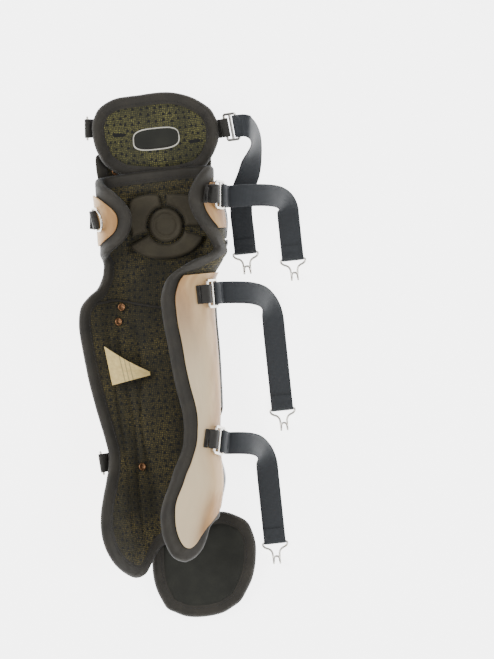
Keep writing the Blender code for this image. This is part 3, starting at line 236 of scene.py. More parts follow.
THIGH_TOP = ((-0.430, 0.115, 0), (-0.340, 0.035, 0), (-0.110, 0.000, 0), (0.160, 0.010, 0),
             (0.350, 0.125, 0), (0.450, 0.255, 0))
THIGH_BOTTOM = ((-0.440, 0.770, 0), (-0.330, 0.905, 0), (-0.110, 0.990, 0), (0.200, 1.000, 0),
                (0.360, 0.925, 0), (0.430, 0.800, 0))
THIGH_LATERAL = ((-0.430, 0.115, 0), (-0.490, 0.270, 0), (-0.500, 0.420, 0), (-0.485, 0.600, 0),
                 (-0.440, 0.770, 0))
THIGH_MEDIAL = ((0.450, 0.255, 0), (0.490, 0.400, 0), (0.495, 0.530, 0), (0.480, 0.660, 0),
                (0.430, 0.800, 0))

BRIDGE_TOP = ((-0.487, 0.66, 0), (-0.300, 0.64, 0), (0.0, 0.64, 0), (0.250, 0.64, 0), (0.400, 0.67, 0))
BRIDGE_BOTTOM = ((-0.470, 1.08, 0), (-0.300, 1.10, 0), (0.0, 1.10, 0), (0.250, 1.10, 0), (0.380, 1.08, 0))
BRIDGE_LATERAL = ((-0.487, 0.66, 0), (-0.500, 0.87, 0), (-0.470, 1.08, 0))
BRIDGE_MEDIAL = ((0.400, 0.67, 0), (0.410, 0.87, 0), (0.380, 1.08, 0))

FOOT_TOP = ((-0.440, 0.210, 0), (-0.260, 0.06, 0), (0.030, 0.00, 0), (0.300, 0.00, 0), (0.470, 0.110, 0))
FOOT_BOTTOM = ((-0.370, 0.880, 0), (-0.205, 0.975, 0), (-0.010, 1.000, 0), (0.165, 0.975, 0),
               (0.330, 0.880, 0))
FOOT_LATERAL = ((-0.440, 0.210, 0), (-0.465, 0.400, 0), (-0.468, 0.580, 0), (-0.435, 0.740, 0),
                (-0.370, 0.880, 0))
FOOT_MEDIAL = ((0.470, 0.110, 0), (0.525, 0.270, 0), (0.518, 0.470, 0), (0.455, 0.690, 0),
               (0.330, 0.880, 0))

# Cushion segments round the disc: angle in degrees, then the outer radius as a share of
# the disc's radius.
SEGMENT_LATERAL = ((97, 1.80), (118, 2.15), (140, 2.60), (160, 2.30), (180, 2.13), (193, 2.10))
SEGMENT_MEDIAL = ((-8, 2.08), (10, 2.03), (25, 2.13), (42, 2.32), (60, 2.00), (83, 1.82))
SEGMENT_LOWER = ((203, 2.50), (225, 2.32), (250, 2.05), (270, 2.00), (290, 2.05), (315, 2.25),
                 (338, 2.40))

# Buckled side, one row for each strap: name, y as a share of its panel's run, turn round
# the bend in degrees where the slider sits, its skew in degrees, its extra lift (share of
# WEB_SEAT), how far the strap reaches out (share of STRAP_REACH) and how far it runs along
# the ground (share of STRAP_RUN).
STRAP_ROWS = (
    ("thigh", 0.50, 0, 0, 0.0, 0.30, 1.00),
    ("knee", 0.33, 122, -8, 1.0, 1.12, 0.54),
    ("calf", 1.125, 128, 0, 1.0, 0.92, 0.98),
    ("ankle", 1.645, 126, -14, 0.4, 0.70, 0.84),
)
STRAP_REACH = 0.060
STRAP_RUN = 0.140

# A strap's route from its slider to the ground: share of its reach, share of its run,
# height as a share of the slider's, and the plan angle of its width.
STRAP_ROUTE = (
    (0.30, 0.01, 0.98, 90),
    (0.62, 0.03, 0.80, 88),
    (0.85, 0.07, 0.52, 80),
    (0.96, 0.14, 0.26, 60),
    (1.00, 0.24, 0.09, 32),
    (1.00, 0.37, 0.02, 10),
    (1.00, 0.55, 0.00, 0),
    (1.00, 0.78, 0.00, 0),
)

# The same for the thigh strap, which turns down beside the knee and under its strap
HIGH_ROUTE = (
    (0.35, 0.02, 0.97, 88),
    (0.60, 0.07, 0.76, 76),
    (0.58, 0.15, 0.46, 52),
    (0.32, 0.26, 0.18, 26),
    (0.02, 0.38, 0.03, 8),
    (-0.50, 0.52, 0.00, 0),
    (-0.70, 0.68, 0.00, 0),
    (-0.70, 0.84, 0.00, 0),
)

# Ring side: name, station, distance of the ring's bar beyond (+) or inside (-) the wing's
# edge (share of the panel's width), extra lift (share of WEB_SEAT), and whether the ring
# hangs down or lies on the face. The tab's tail is a share of the panel's width too.
RING_ROWS = (
    ("thigh", 0.34, 0.0103, 0.6, True),
    ("knee", 0.46, 0.0, 0.9, False),
    ("calf", 1.20, -0.160, 1.0, True),
    ("ankle", 1.685, 0.0033, 0.6, True),
)
KNEE_RING_TURN = 118.0
TAB_TAIL = 0.133
SLIDER_TAIL = 0.009
STRAP_FOLD = 0.009
STRAP_TAIL = 0.014

# Hook wire: half width, distance along and height, as shares of HOOK_WIDTH / 2,
# HOOK_LENGTH and HOOK_RISE.
HOOK_RISE = 0.008
HOOK_SHAPE = (
    (1.00, 0.00, 0.00), (1.00, 0.24, 0.00), (0.30, 0.38, 0.00), (0.26, 0.80, 0.05),
    (0.26, 0.98, 0.40), (0.26, 0.92, 0.90), (0.22, 0.66, 1.00),
)

# Rivet heads on the lining: name, x as a share of the panel's width, station
RIVET_ROWS = (
    ("rivet_calf_upper", -0.427, 1.139),
    ("rivet_calf_lower", -0.467, 1.190),
    ("rivet_ankle", -0.400, 1.715),
)
RIVET_BRIDGE = (-0.360, 0.865)

# Folded label: its sewn edge and its tip, x as a share of the lining's width and station
LABEL_TOP = (-0.610, 1.272)
LABEL_BOTTOM = (-0.580, 1.414)
LABEL_TIP = (-0.235, 1.386)
LABEL_TIP_WIDTH = 0.004
LABEL_LIFT = 0.009

# Shares across the lining at which its grid has a column: close together round the bend
LINER_COLUMNS = (0.0, 0.07, 0.14, 0.21, 0.28, 0.40, 0.51, 0.56, 0.61, 0.66, 0.71, 0.76, 0.82, 0.88,
                 0.94, 1.0)
KNEE_ROWS = 13
SHIN_ROWS = 22

# How many steps the fine meshes take between the points of a table
FINER = 5

# Edges that curl over: how far past the middle they may lie (share of the width), and the
# flattest slope at which a place seen from above is still followed down the wing
CURL_SHARE = 0.2
SLOPE_LIMIT = 0.2
CORNER_LIMIT = 0.78
CURVE_STEPS = 40

# Unevenness: how many sines, the angles between them and from seed to seed, the growth of
# their pitches, and the shift from seed to seed
WAVES = 5
WAVE_TURN = 2.39996
WAVE_SEED_TURN = 1.7
WAVE_GROWTH = 0.37
WAVE_SHIFT = 3

# Edge roll: where its round nose ends (share of its width), the sides of the nose, then the
# rest of its section: share of its width in from the edge, height as a share of the pad's
# edge, share of ROLL_PROUD. Puckers: share of ROLL_PUCKER, pitch and seed.
ROLL_NOSE = 0.40
ROLL_SIDES = 9
ROLL_LAP = 1.06
ROLL_FACE = ((ROLL_LAP, 1.0, 0.25), (0.96, 1.0, 0.55), (0.72, 1.0, 0.9))
ROLL_BACK = (ROLL_LAP, 0.0, -0.4)
ROLL_PUCKER = 0.00035
PUCKERS = ((0.9, 0.013, 2.0), (0.6, 0.0056, 4.0))

# Stitches: where they run across the roll (share of its width), how high they lie (share of
# ROLL_PROUD), how far their ends dip and their middle rises, and the taper of their ends
STITCH_LENGTH = 0.0030
STITCH_PITCH = 0.0043
STITCH_WIDTH = 0.0007
STITCH_SHARE = 0.80
STITCH_SEAT = 0.8
STITCH_DIP = -0.0002
STITCH_RISE = 0.0005
STITCH_TAPER = 0.35

# Pads: fullness, the shares of the grid over which the face rises, and the unevenness as
# rows of share, pitch and seed
PAD_RISE = (-0.01, 1.3 * PAD_BORDER)
PAD_WAVES = ((1.0, 0.055, 0.0), (0.35, 0.019, 5.0))

# Two creases at the neck below the knee, which appear between two values of -y, and one
# above the cushion, which fades between two distances from the middle: depth, slope and
# bow across the leg, y and half width. Channels round the cushion: depth, radius as a share
# of the disc's, half width, and the distances below the disc between which they appear.
# Creases down the shin, which appear between two values of -y: depth, share of the sway,
# distance along the section and half width.
NECK_CREASE = 0.0012
NECK_LATERAL = (0.10, -0.040, 0.0022)
NECK_MEDIAL = (0.05, -0.047, 0.0020)
NECK_START = (0.030, 0.046)
KNEE_CREASE = 0.0016
KNEE_SLOPE = 0.045
KNEE_BOW = 0.6
KNEE_PLACE = (0.0325, 0.0016)
KNEE_REACH = (-0.062, -0.040)
CHANNELS = ((0.0022, 2.62, 0.0020, -0.012, 0.006), (0.0010, 2.86, 0.0013, -0.006, 0.010))
SHIN_CREASES = ((0.0017, 1.0, -0.052, 0.0035), (0.0021, -1.0, -0.034, 0.0028),
                (0.0015, 0.5, -0.071, 0.0030), (0.0012, 0.0, 0.012, 0.0050))
SHIN_SWAY = 0.004
SHIN_SWAY_PITCH = 34.0
SHIN_START = (0.090, 0.150)

# Cord over the seam: radius, height over the pads, points along it, and how it wavers
PIPING = 0.0013
PIPING_LIFT = 0.0010
PIPING_POINTS = 90
PIPING_SIDES = 10
PIPING_PITCH = 0.011
PIPING_WAVER = (0.0, 0.0004, 0.0002)

# Covers: columns of a knee cover, of the lateral and of the medial shin cover, fine steps to
# a column, the share of its length over which a cover leaves the twisted plate, depth,
# pitch and stretch of the creases, thickness at the hem as a share of the full one, and the
# shares over which the hem ends
COVER_COLUMNS = (4, 3, 5)
COVER_STEPS = 8
COVER_TWIST = 0.15
CREASE = 0.0005
CREASE_PITCH = 0.024
CREASE_STRETCH = 0.6
COVER_HEM = 0.75
COVER_HEM_REACH = 0.12

# Plates: columns of the grid, the shares over which the rim thins, its thickness as a share
# of the full one, where the shin plate's lips start across it, and the roundness of the cap
PLATE_COLUMNS = 72
PLATE_RIM = (-0.012, 0.016)
PLATE_RIM_SHARE = 0.55
LIP_START = 0.833
CAP_POWER = 2.6

# Borders of the plates: how the thigh plate narrows away from one station; how much less
# the lateral sides of the knee cap and of the plate below it turn, and how the latter turns
# back between two stations; how the shin plate starts narrow, on its inner side (degrees)
# and on its outer side (share); and where the foot plate's taper starts and over what share
THIGH_NARROWING = 0.5
THIGH_WIDEST = 0.47
KNEE_LATERAL_TURN = 8.0
NECK_LATERAL_TURN = 20.0
NECK_TURN_BACK = 40.0
NECK_STATIONS = (0.84, 0.97)
SHIN_TURN_BACK = 34.0
SHIN_MEDIAL_STATIONS = (1.07, 1.15)
SHIN_LATERAL_START = 0.75
SHIN_LATERAL_STATIONS = (1.05, 1.15)
FOOT_TAPER_START = 0.50
FOOT_TAPER_REACH = 0.45
RIDGE_RUN = 1.1

# Knee cushion: station of its middle, fullness, rounding of the segments' borders, height of
# the borders and of the crown as shares of CUSHION, rows and columns of a segment's grid,
# how many columns either side smooth its outer border, and the share and pitch of its
# unevenness; the same for the disc, with the share of its radius where its shoulder starts
# and its hollow ring as depth, place and half width
DISC_STATION = 0.58
CUSHION_ROUND = 0.0040
SEGMENT_EDGE = 0.30
SEGMENT_CROWN = 0.68
SEGMENT_GRID = (40, 70)
SEGMENT_SMOOTHING = 4
SEGMENT_WAVES = (0.04, 0.02)
DISC_SIDES = 72
DISC_RINGS = 25
DISC_EDGE = 0.35
DISC_CROWN = 0.60
DISC_SHOULDER = 0.80
DISC_DISH = (0.22, 0.66, 0.07)

# Rivet head from its foot over the rolled rim into the hollow: shares of radius and height
RIVET_PROFILE = ((0.96, 0.0), (1.0, 0.25), (0.97, 0.60), (0.88, 0.92), (0.76, 1.00), (0.64, 0.86),
                 (0.54, 0.50), (0.40, 0.36), (0.28, 0.40), (0.20, 0.30), (0.05, 0.26))
RIVET_SIDES = 28
BRIDGE_RIVET_SEAT = 1.7 * RIVET_SEAT

# Section of a strap: share of its half width and of its half thickness, going round
RIBBON_SECTION = ((-1.0, -0.35), (-0.96, -0.85), (-0.5, -1.0), (0.0, -1.0), (0.5, -1.0),
                  (0.96, -0.85), (1.0, -0.35), (1.0, 0.35), (0.96, 0.85), (0.5, 1.0), (0.0, 1.0),
                  (-0.5, 1.0), (-0.96, 0.85), (-1.0, 0.35))
WIRE_SIDES = 14
RING_STEPS = 17

# Buckle: sides and roundness of its section, its corner as a share of the bar, and where
# its seat lies along it. Seats are measured over a small step.
BUCKLE_SIDES = 16
BUCKLE_POWER = 0.6
BUCKLE_CORNER = 0.75
BUCKLE_SEAT = 0.35
SEAT_STEP = 0.0005

# Blank badge, its field within the rim, and lacing slots on the thigh pad (the slots are dark
# sheets of painted shade): name, middle seen from above, half sizes, height of the foot over
# the pad, height of the piece, power of the outline (2 for an oval, more for a box), look and
# slot. The pad's middle line is read at one station.
BADGE_PLACE = (0.000, 0.093)
BADGE_HALF = (0.0265, 0.0125)
BADGE_RIM = 0.0013
BADGE_FIELD = tuple(half - BADGE_RIM for half in BADGE_HALF)
SLIT_HALF = (0.0090, 0.0020)
PATCHES = (("thigh_badge", BADGE_PLACE, BADGE_HALF, -0.0003, 0.0012, 3.2, "patch", "label"),
           ("thigh_badge_field", BADGE_PLACE, BADGE_FIELD, 0.0005, 0.0009, 3.2, "foot", "binding"),
           ("slit_lateral", (-0.044, 0.101), SLIT_HALF, -0.0004, 0.0009, 2.6, "dark", "binding"),
           ("slit_medial", (0.047, 0.086), SLIT_HALF, -0.0004, 0.0009, 2.6, "dark", "binding"))
PATCH_RINGS = 12
PATCH_SIDES = 64
PATCH_EDGE = 0.55
PATCH_RISE = 0.25
DETAIL_STATION = 0.45

# Folded label: grid, its inward bow, and the arch and ripple of its face
LABEL_ROWS = 44
LABEL_COLUMNS = 34
LABEL_BOW = (-0.0008, -0.0012, 0.0)
LABEL_ARCH = 0.35 * LABEL_LIFT
LABEL_RIPPLE = 0.0006
LABEL_RIPPLES = (9, 3)

# Cloth and finishes, linear colours. MESH_THREADS and HOLES are cells to a metre, and how
# far the cells are scattered; KNIT, WEBBING_PITCH, ELASTIC_PITCH and RULE_PITCH are
# pitches; RULES is the ruled stretch of the label; PALE_ALONG and PALE_Y are the places
# between which the covers take a painted whitish sheen.
MESH_DARK = (0.0100, 0.0088, 0.0028)
# Painted highlight (glint) on the threads of the lining mesh
MESH_GLINT = (0.210, 0.160, 0.040)
THIGH_DARK = (0.0165, 0.0165, 0.0055)
# Painted highlight (glint) on the threads of the thigh mesh
THIGH_GLINT = (0.300, 0.275, 0.075)
# Painted shade inside the punched holes of the mesh
MESH_HOLE_SHADE = (0.0015, 0.0015, 0.0010)
MESH_THREADS = 470.0
THREAD_SCATTER = 0.30
HOLES = 118.0
HOLE_SCATTER = 0.45
HOLE_SIZE = 0.15
FOAM = (0.0280, 0.0220, 0.0100)
FOAM_LIGHT = (0.0480, 0.0390, 0.0200)
BINDING = (0.0110, 0.0088, 0.0050)
BINDING_LIGHT = (0.0260, 0.0215, 0.0140)
BINDING_SHEEN = (0.62, 0.70, 0.80)
KNIT = 0.0016
TAN = (0.270, 0.130, 0.040)
TAN_MIDDLE = (0.410, 0.225, 0.085)
TAN_PALE = (0.540, 0.345, 0.160)
# Whitish painted sheen (highlight) laid over the covers
TAN_SHEEN = (0.640, 0.510, 0.320)
PALE_ALONG = (0.065, 0.095)
PALE_Y = (-0.060, -0.190)
PALE_SWAY = 0.022
PALE_MOST = 0.9
SHELL_BLACK = (0.006, 0.006, 0.007)
WEBBING = (0.007, 0.006, 0.0045)
# Colour of the webbing's rib tops, a painted highlight
WEBBING_RIB_HIGHLIGHT = (0.028, 0.025, 0.019)
WEBBING_PITCH = 0.0011
ELASTIC = (0.008, 0.010, 0.012)
# Colour of the elastic's rib tops, a painted highlight
ELASTIC_RIB_HIGHLIGHT = (0.030, 0.035, 0.042)
ELASTIC_PITCH = 0.0013
PLATED = (0.62, 0.60, 0.55)
PLATED_WORN = (0.45, 0.33, 0.16)
COPPER = (0.270, 0.140, 0.072)
COPPER_WORN = (0.110, 0.060, 0.034)
FOOT_CLOTH = (0.0085, 0.0088, 0.0055)
THREAD = (0.022, 0.022, 0.021)
SLOT_SHADOW = (0.004, 0.004, 0.004)
BADGE_CLOTH = (0.46, 0.44, 0.38)
LABEL_CREAM = (0.780, 0.600, 0.240)
LABEL_SHADE = (0.560, 0.400, 0.150)
LABEL_INK = (0.10, 0.09, 0.07)
RULE_PITCH = 0.0052
RULES = (0.013, 0.032)
FLOOR = (0.94, 0.94, 0.94)
FLOOR_GLOW = 4.5
FLOOR_SIZE = 12.0

# The camera looks straight down from high above, turned so that the leg leans as pictured
CAMERA_HEIGHT = 5.0
CAMERA_END = 50.0
SENSOR = 24.0
FIELD_HEIGHT = 0.751
FIELD_MIDDLE = (0.079, -0.132)
PHOTO_LEAN = 6.0

# Soft light: the sky's strength and its colours from straight down to straight up, then
# lamps with name, place, size and power
SKY = 0.9
SKY_STOPS = ((0.0, (0.10, 0.10, 0.11)), (0.35, (0.30, 0.30, 0.32)), (0.80, (1.0, 1.0, 1.0)))
AIM = (0.0, -0.15, 0.0)
LIGHTS = (("softbox_left", (-1.6, 0.6, 2.2), 1.6, 45.0),
          ("softbox_right", (1.8, -0.5, 2.0), 1.2, 22.0),
          ("softbox_low", (0.4, -2.2, 1.4), 1.0, 14.0))

LOOKS = {}


def clamp(value, low, high):
    return max(low, min(high, value))


def fade(value, start, end):
    """0 before start, 1 after end, smooth between."""
    t = np.clip((np.asarray(value, dtype=float) - start) / (end - start), 0.0, 1.0)
    return t * t * (3 - 2 * t)


def cubic(t, here, after, leave, arrive):
    """A smooth curve from here to after with the slopes leave and arrive."""
    return (here * (2 * t ** 3 - 3 * t ** 2 + 1) + after * (3 * t ** 2 - 2 * t ** 3)
            + leave * (t ** 3 - 2 * t ** 2 + t) + arrive * (t ** 3 - t ** 2))


def hermite(knots, values, places):
    """A smooth curve through values at knots, read at places."""
    slopes = np.gradient(values, knots, axis=0)
    s = np.clip(places, knots[0], knots[-1])
    k = np.clip(np.searchsorted(knots, s) - 1, 0, len(knots) - 2)
    span = knots[k + 1] - knots[k]
    t = (s - knots[k]) / span
    inner = (...,) + (None,) * (values.ndim - 1)
    t, span = t[inner], span[inner]
    return cubic(t, values[k], values[k + 1], slopes[k] * span, slopes[k + 1] * span)


class Panel:
    """A bent sheet: its sections lie at stations along the leg, and a pattern point is
    (distance along the section, y)."""

    def __init__(self, rows, width, lift, base, y_at, station_at):
        self.rows = np.array(rows, dtype=float)
        self.width = width
        self.lift = lift
        self.base = base
        self.y_at = y_at
        self.station_at = station_at

    def column(self, name, station):
        index = SECTION_COLUMNS.index(name)
        return hermite(self.rows[:, 0], self.rows[:, index], np.asarray(station, dtype=float))

    def side(self, station, medial):
        """Flat, bend radius and turn in radians of one side."""
        def pick(name):
            return np.where(medial, self.column(name + "_m", station), self.column(name + "_l", station))
        return pick("flat") * self.width, pick("bend") * self.width, np.radians(pick("turn"))

    def middle(self, station):
        return self.column("centre", station) * self.width

    def point(self, along, y, out=0.0):
        """The place of pattern points, out towards the leg from the panel's outer face."""
        along, y, out = np.broadcast_arrays(np.asarray(along, dtype=float), y, out)
        station = self.station_at(y)
        flat, bend, turn = self.side(station, along >= 0)
        sign = np.where(along >= 0, 1.0, -1.0)
        run = np.abs(along)
        angle = np.clip((run - flat) / bend, 0.0, turn)
        rest = np.maximum(run - flat - bend * turn, 0.0)
        x = np.minimum(run, flat) + bend * np.sin(angle) + rest * np.cos(angle) - np.sin(angle) * out
        z = bend * (1.0 - np.cos(angle)) + rest * np.sin(angle) + np.cos(angle) * out
        floor = self.base + self.column("floor", station) * self.lift
        return np.stack((self.middle(station) + sign * x, y, floor + z), axis=-1)

    def along_at_turn(self, station, degrees, medial):
        """Signed distance along the section to an angle round the bend."""
        flat, bend, turn = self.side(station, medial)
        run = float(flat + bend * np.minimum(math.radians(degrees), turn))
        return run if medial else -run

    def along_at_x(self, x, station, past):
        """Signed distance along the section to a place seen from above."""
        offset = x - self.middle(station)
        medial = bool(offset >= 0 or (past and x > self.middle(station) - self.width * CURL_SHARE))
        flat, bend, turn = (float(v) for v in self.side(station, medial))
        reach = offset if medial else -offset
        tip = flat + bend * math.sin(turn)
        angle = math.asin(clamp((reach - flat) / bend, -1.0, 1.0))
        if past and reach >= tip:
            run = flat + bend * (math.pi - angle)
        elif past:
            run = flat + bend * turn + (tip - reach) / max(-math.cos(turn), SLOPE_LIMIT)
        elif reach <= flat:
            run = reach
        elif reach <= tip or turn >= math.pi / 2:
            run = flat + bend * angle
        else:
            run = flat + bend * turn + (reach - tip) / max(math.cos(turn), SLOPE_LIMIT)
        return run if medial else -run

    def edge(self, rows):
        """Pattern points of an edge table."""
        return np.array([(self.along_at_x(x * self.width, s, past), self.y_at(s)) for x, s, past in rows])


def liner_y(station):
    neck = KNEE_TOP - KNEE_LENGTH
    station = np.asarray(station, dtype=float)
    return np.where(station <= 1.0, KNEE_TOP - KNEE_LENGTH * station,
                    neck - SHIN_LENGTH * (station - 1.0))


def liner_station(y):
    neck = KNEE_TOP - KNEE_LENGTH
    y = np.asarray(y, dtype=float)
    return np.where(y >= neck, (KNEE_TOP - y) / KNEE_LENGTH, 1.0 + (neck - y) / SHIN_LENGTH)


def straight_stations(top, length):
    """Stations that run evenly from the top of a panel down to its lower edge."""
    return (lambda s: top - length * s), (lambda y: (top - y) / length)


LINER = Panel(LINER_SECTIONS, LINER_WIDTH, KNEE_LIFT, 0.0, liner_y, liner_station)
DISC_CENTRE = np.array((-LINER.middle(DISC_STATION), DISC_Y))

# The thigh pad's lower edge lies under the lining's top edge, and its plate on the bridge.
THIGH_BOTTOM_Y = KNEE_TOP - THIGH_TUCK
THIGH_BASE = LINER.point(0.0, THIGH_BOTTOM_Y)[2] - ROLL_PROUD - LAYER_GAP - PAD_EDGE - ROLL_PROUD
THIGH = Panel(THIGH_SECTIONS, THIGH_WIDTH, THIGH_RISE, THIGH_BASE,
              *straight_stations(THIGH_BOTTOM_Y + THIGH_LENGTH, THIGH_LENGTH))

BRIDGE_DROP = (SEAT_GAP + SHELL + THIN_PAD + ROLL_PROUD) / math.cos(math.radians(THIGH_SECTIONS[0][5]))
BRIDGE = Panel(THIGH_SECTIONS, THIGH_WIDTH, THIGH_RISE, THIGH_BASE - BRIDGE_DROP,
               *straight_stations(THIGH_BOTTOM_Y + THIGH_LENGTH, THIGH_LENGTH))

# The foot pad starts under the lining's hem and slopes to the ground.
HEM_Y = KNEE_TOP - KNEE_LENGTH - SHIN_LENGTH
FOOT_TOP_Y = HEM_Y + FOOT_TUCK
FOOT_TIP_LIFT = SHELL + LAYER_GAP
FOOT_FALL = LINER.point(0.0, HEM_Y)[2] - ROLL_PROUD - LAYER_GAP - PAD_EDGE - ROLL_PROUD - FOOT_TIP_LIFT
FOOT = Panel(FOOT_SECTIONS, FOOT_WIDTH, FOOT_FALL, FOOT_TIP_LIFT,
             *straight_stations(FOOT_TOP_Y, FOOT_LENGTH))

# Pads with one edge roll all round: name, panel, edges, columns, rows, thickness, thickness
# at the edge, unevenness, seed and look
PADS = (("thigh", THIGH, (THIGH_TOP, THIGH_BOTTOM, THIGH_LATERAL, THIGH_MEDIAL),
         12, 8, PAD, PAD_EDGE, 0.0005, 1.0, "thigh"),
        ("bridge", BRIDGE, (BRIDGE_TOP, BRIDGE_BOTTOM, BRIDGE_LATERAL, BRIDGE_MEDIAL),
         12, 4, THIN_PAD, THIN_PAD, 0.0, 2.0, "mesh"),
        ("foot", FOOT, (FOOT_TOP, FOOT_BOTTOM, FOOT_LATERAL, FOOT_MEDIAL),
         9, 8, PAD, PAD_EDGE, 0.0006, 4.0, "foot"))
LINER_PUFF = 0.0005


def lengths_along(points):
    """Distance along a row of points at each of them."""
    return np.concatenate(([0.0], np.cumsum(np.linalg.norm(np.diff(points, axis=0), axis=1))))


def smooth_path(points, shares):
    """Points on a smooth curve through the given ones, at shares of its length."""
    points = np.asarray(points, dtype=float)
    knots = lengths_along(points)
    curve = hermite(knots, points, np.linspace(0.0, knots[-1], CURVE_STEPS * len(points)))
    lengths = lengths_along(curve)
    wanted = np.asarray(shares) * lengths[-1]
    return np.stack([np.interp(wanted, lengths, curve[:, c]) for c in range(curve.shape[1])], axis=1)


def refine(points, count):
    """A row of vectors, such as a coarse path, as a smooth row of more."""
    points = np.asarray(points, dtype=float)
    knots = np.arange(len(points), dtype=float)
    return hermite(knots, points, np.linspace(0.0, knots[-1], count))


def unit(vectors):
    return vectors / np.maximum(np.linalg.norm(vectors, axis=-1, keepdims=True), 1e-12)


def pairs(a, b):
    """Two grids of numbers as one list of points."""
    return np.stack(np.broadcast_arrays(a, b), axis=-1).reshape(-1, 2)


def circle(sides):
    """Points round a circle of radius 1."""
    turn = 2 * math.pi * np.arange(sides) / sides
    return np.stack((np.cos(turn), np.sin(turn)), axis=1)


def waves(a, b, scale, seed):
    """Gentle unevenness between -1 and 1 over a surface, the same on every run: sines in
    scattered directions with growing pitches."""
    total = 0.0
    for k in range(WAVES):
        angle = seed * WAVE_SEED_TURN + k * WAVE_TURN
        pitch = scale * (1.0 + WAVE_GROWTH * k)
        across = a * math.cos(angle) + b * math.sin(angle)
        total = total + np.sin(across * 2 * math.pi / pitch + seed * WAVE_SHIFT + k)
    return total / WAVES


def add_piece(name, verts, faces, pattern, look, nodes, slot, smooth_angle=50):
    """One closed body, its faces turned outwards. faces is a list of arrays of corners,
    pattern holds each vertex's place on the cloth in metres, which the materials read as a
    UV map."""
    verts = np.asarray(verts, dtype=float)
    volume = 0.0
    for corners in faces:
        first = verts[corners[:, 0]]
        for k in range(1, corners.shape[1] - 1):
            volume += np.sum(np.cross(verts[corners[:, k]], verts[corners[:, k + 1]]) * first)
    rows = [row for corners in faces for row in corners.tolist()]
    if volume < 0:
        rows = [row[::-1] for row in rows]
    mesh = bpy.data.meshes.new(name)
    mesh.from_pydata(verts.tolist(), [], rows)
    if pattern is not None:
        layer = mesh.uv_layers.new(name="pattern")
        index = np.array([v for row in rows for v in row])
        layer.data.foreach_set("uv", np.asarray(pattern, dtype=float)[index].ravel())
    mesh.shade_smooth()
    mesh.set_sharp_from_angle(angle=math.radians(smooth_angle))
    mesh.materials.append(look)
    made = bpy.data.objects.new(name + "_fine" if nodes else name, mesh)
    bpy.context.scene.collection.objects.link(made)
    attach(made, "root")
    if nodes:
        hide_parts(*nodes)
    return made


def quads(rows, columns, wrap_rows=False, wrap_columns=False):
    """Corners of the faces between the points of a grid."""
    j = np.arange(rows if wrap_rows else rows - 1)
    i = np.arange(columns if wrap_columns else columns - 1)
    j, i = np.meshgrid(j, i, indexing="ij")
    next_j, next_i = (j + 1) % rows * columns, (i + 1) % columns
    j = j * columns
    return np.stack((j + i, j + next_i, next_j + next_i, next_j + i), axis=-1).reshape(-1, 4)


def rod_faces(rings, sides):
    """Faces of a closed rod of rings, with a cap at either end."""
    ring = np.arange(sides)
    return [quads(rings, sides, False, True), ring[None, ::-1], ring[None] + (rings - 1) * sides]


def sheet_faces(rows, columns):
    """Faces of a closed sheet made of two matching grids."""
    top = quads(rows, columns)
    lower = rows * columns
    border = ([(0, i) for i in range(columns)] + [(j, columns - 1) for j in range(1, rows)]
              + [(rows - 1, i) for i in range(columns - 2, -1, -1)]
              + [(j, 0) for j in range(rows - 2, 0, -1)])
    loop = np.array([j * columns + i for j, i in border])
    after = np.roll(loop, -1)
    return [top, top[:, ::-1] + lower, np.stack((after, loop, loop + lower, after + lower), axis=-1)]


def panel_sheet(name, panel, grid, low, high, look, slot, floor=None, smooth_angle=50):
    """A sheet on a panel between the heights low and high over its outer face, which are
    arrays over the grid or single values. It replaces the node of its name."""
    along, y = grid[..., 0], grid[..., 1]
    inner = panel.point(along, y, high)
    outer = panel.point(along, y, low)
    if floor is not None:
        outer[..., 2] = np.maximum(outer[..., 2], floor)
    verts = np.concatenate((inner.reshape(-1, 3), outer.reshape(-1, 3)))
    pattern = np.tile(grid.reshape(-1, 2), (2, 1))
    return add_piece(name, verts, sheet_faces(*along.shape), pattern, LOOKS[look], (name,), slot,
                     smooth_angle)


def patch(top, bottom, left, right, u, v):
    """Pattern points that fill four edges which meet at their corners."""
    tu, tv = np.asarray(u)[None, :, None], np.asarray(v)[:, None, None]
    corners = ((1 - tu) * (1 - tv) * top[0] + tu * (1 - tv) * top[-1]
               + (1 - tu) * tv * bottom[0] + tu * tv * bottom[-1])
    return ((1 - tv) * top[None, :] + tv * bottom[None, :]
            + (1 - tu) * left[:, None] + tu * right[:, None] - corners)


def inset(loop, distance):
    """A closed pattern loop moved inwards, kept square at its corners."""
    ahead = unit(np.roll(loop, -1, axis=0) - loop)
    behind = unit(loop - np.roll(loop, 1, axis=0))
    turn = unit(ahead + behind)
    inward = np.stack((turn[:, 1], -turn[:, 0]), axis=1)
    spread = np.maximum((turn * ahead).sum(axis=1), CORNER_LIMIT)
    return loop + inward * (distance / spread)[:, None]


def lengths_round(loop):
    """Distance along a closed loop at each of its points, and its whole length."""
    lengths = lengths_along(np.concatenate((loop, loop[:1])))
    return lengths[:-1], lengths[-1]


def edge_roll(name, panel, outline, inner, thick):
    """The bound edge of a pad, swept along its outline, with its row of stitches."""
    nose = [(ROLL_NOSE * (1 + math.cos(a)), 0.5 + 0.5 * math.sin(a), math.sin(a))
            for a in np.radians(np.linspace(90, 270, ROLL_SIDES))]
    section = np.array([*ROLL_FACE, *nose, ROLL_BACK])
    share, level, proud = section.T
    run = lengths_round(outline)[0]
    pucker = 1.0
    for depth, pitch, seed in PUCKERS:
        pucker = pucker + depth * waves(run, 0.0, pitch, seed)
    place = outline[:, None] + (inner - outline)[:, None] * share[None, :, None]
    out = level[None] * thick + proud[None] * (ROLL_PROUD - ROLL_PUCKER * pucker[:, None])
    verts = panel.point(place[..., 0], place[..., 1], out).reshape(-1, 3)
    across = lengths_along(section[:, :2] * (ROLL_WIDTH, thick))
    add_piece(name, verts, [quads(len(outline), len(section), True, True)],
              pairs(run[:, None], across[None]), LOOKS["binding"], (name,), "binding")
    stitches(name + "_stitches", panel, outline, inner, thick)


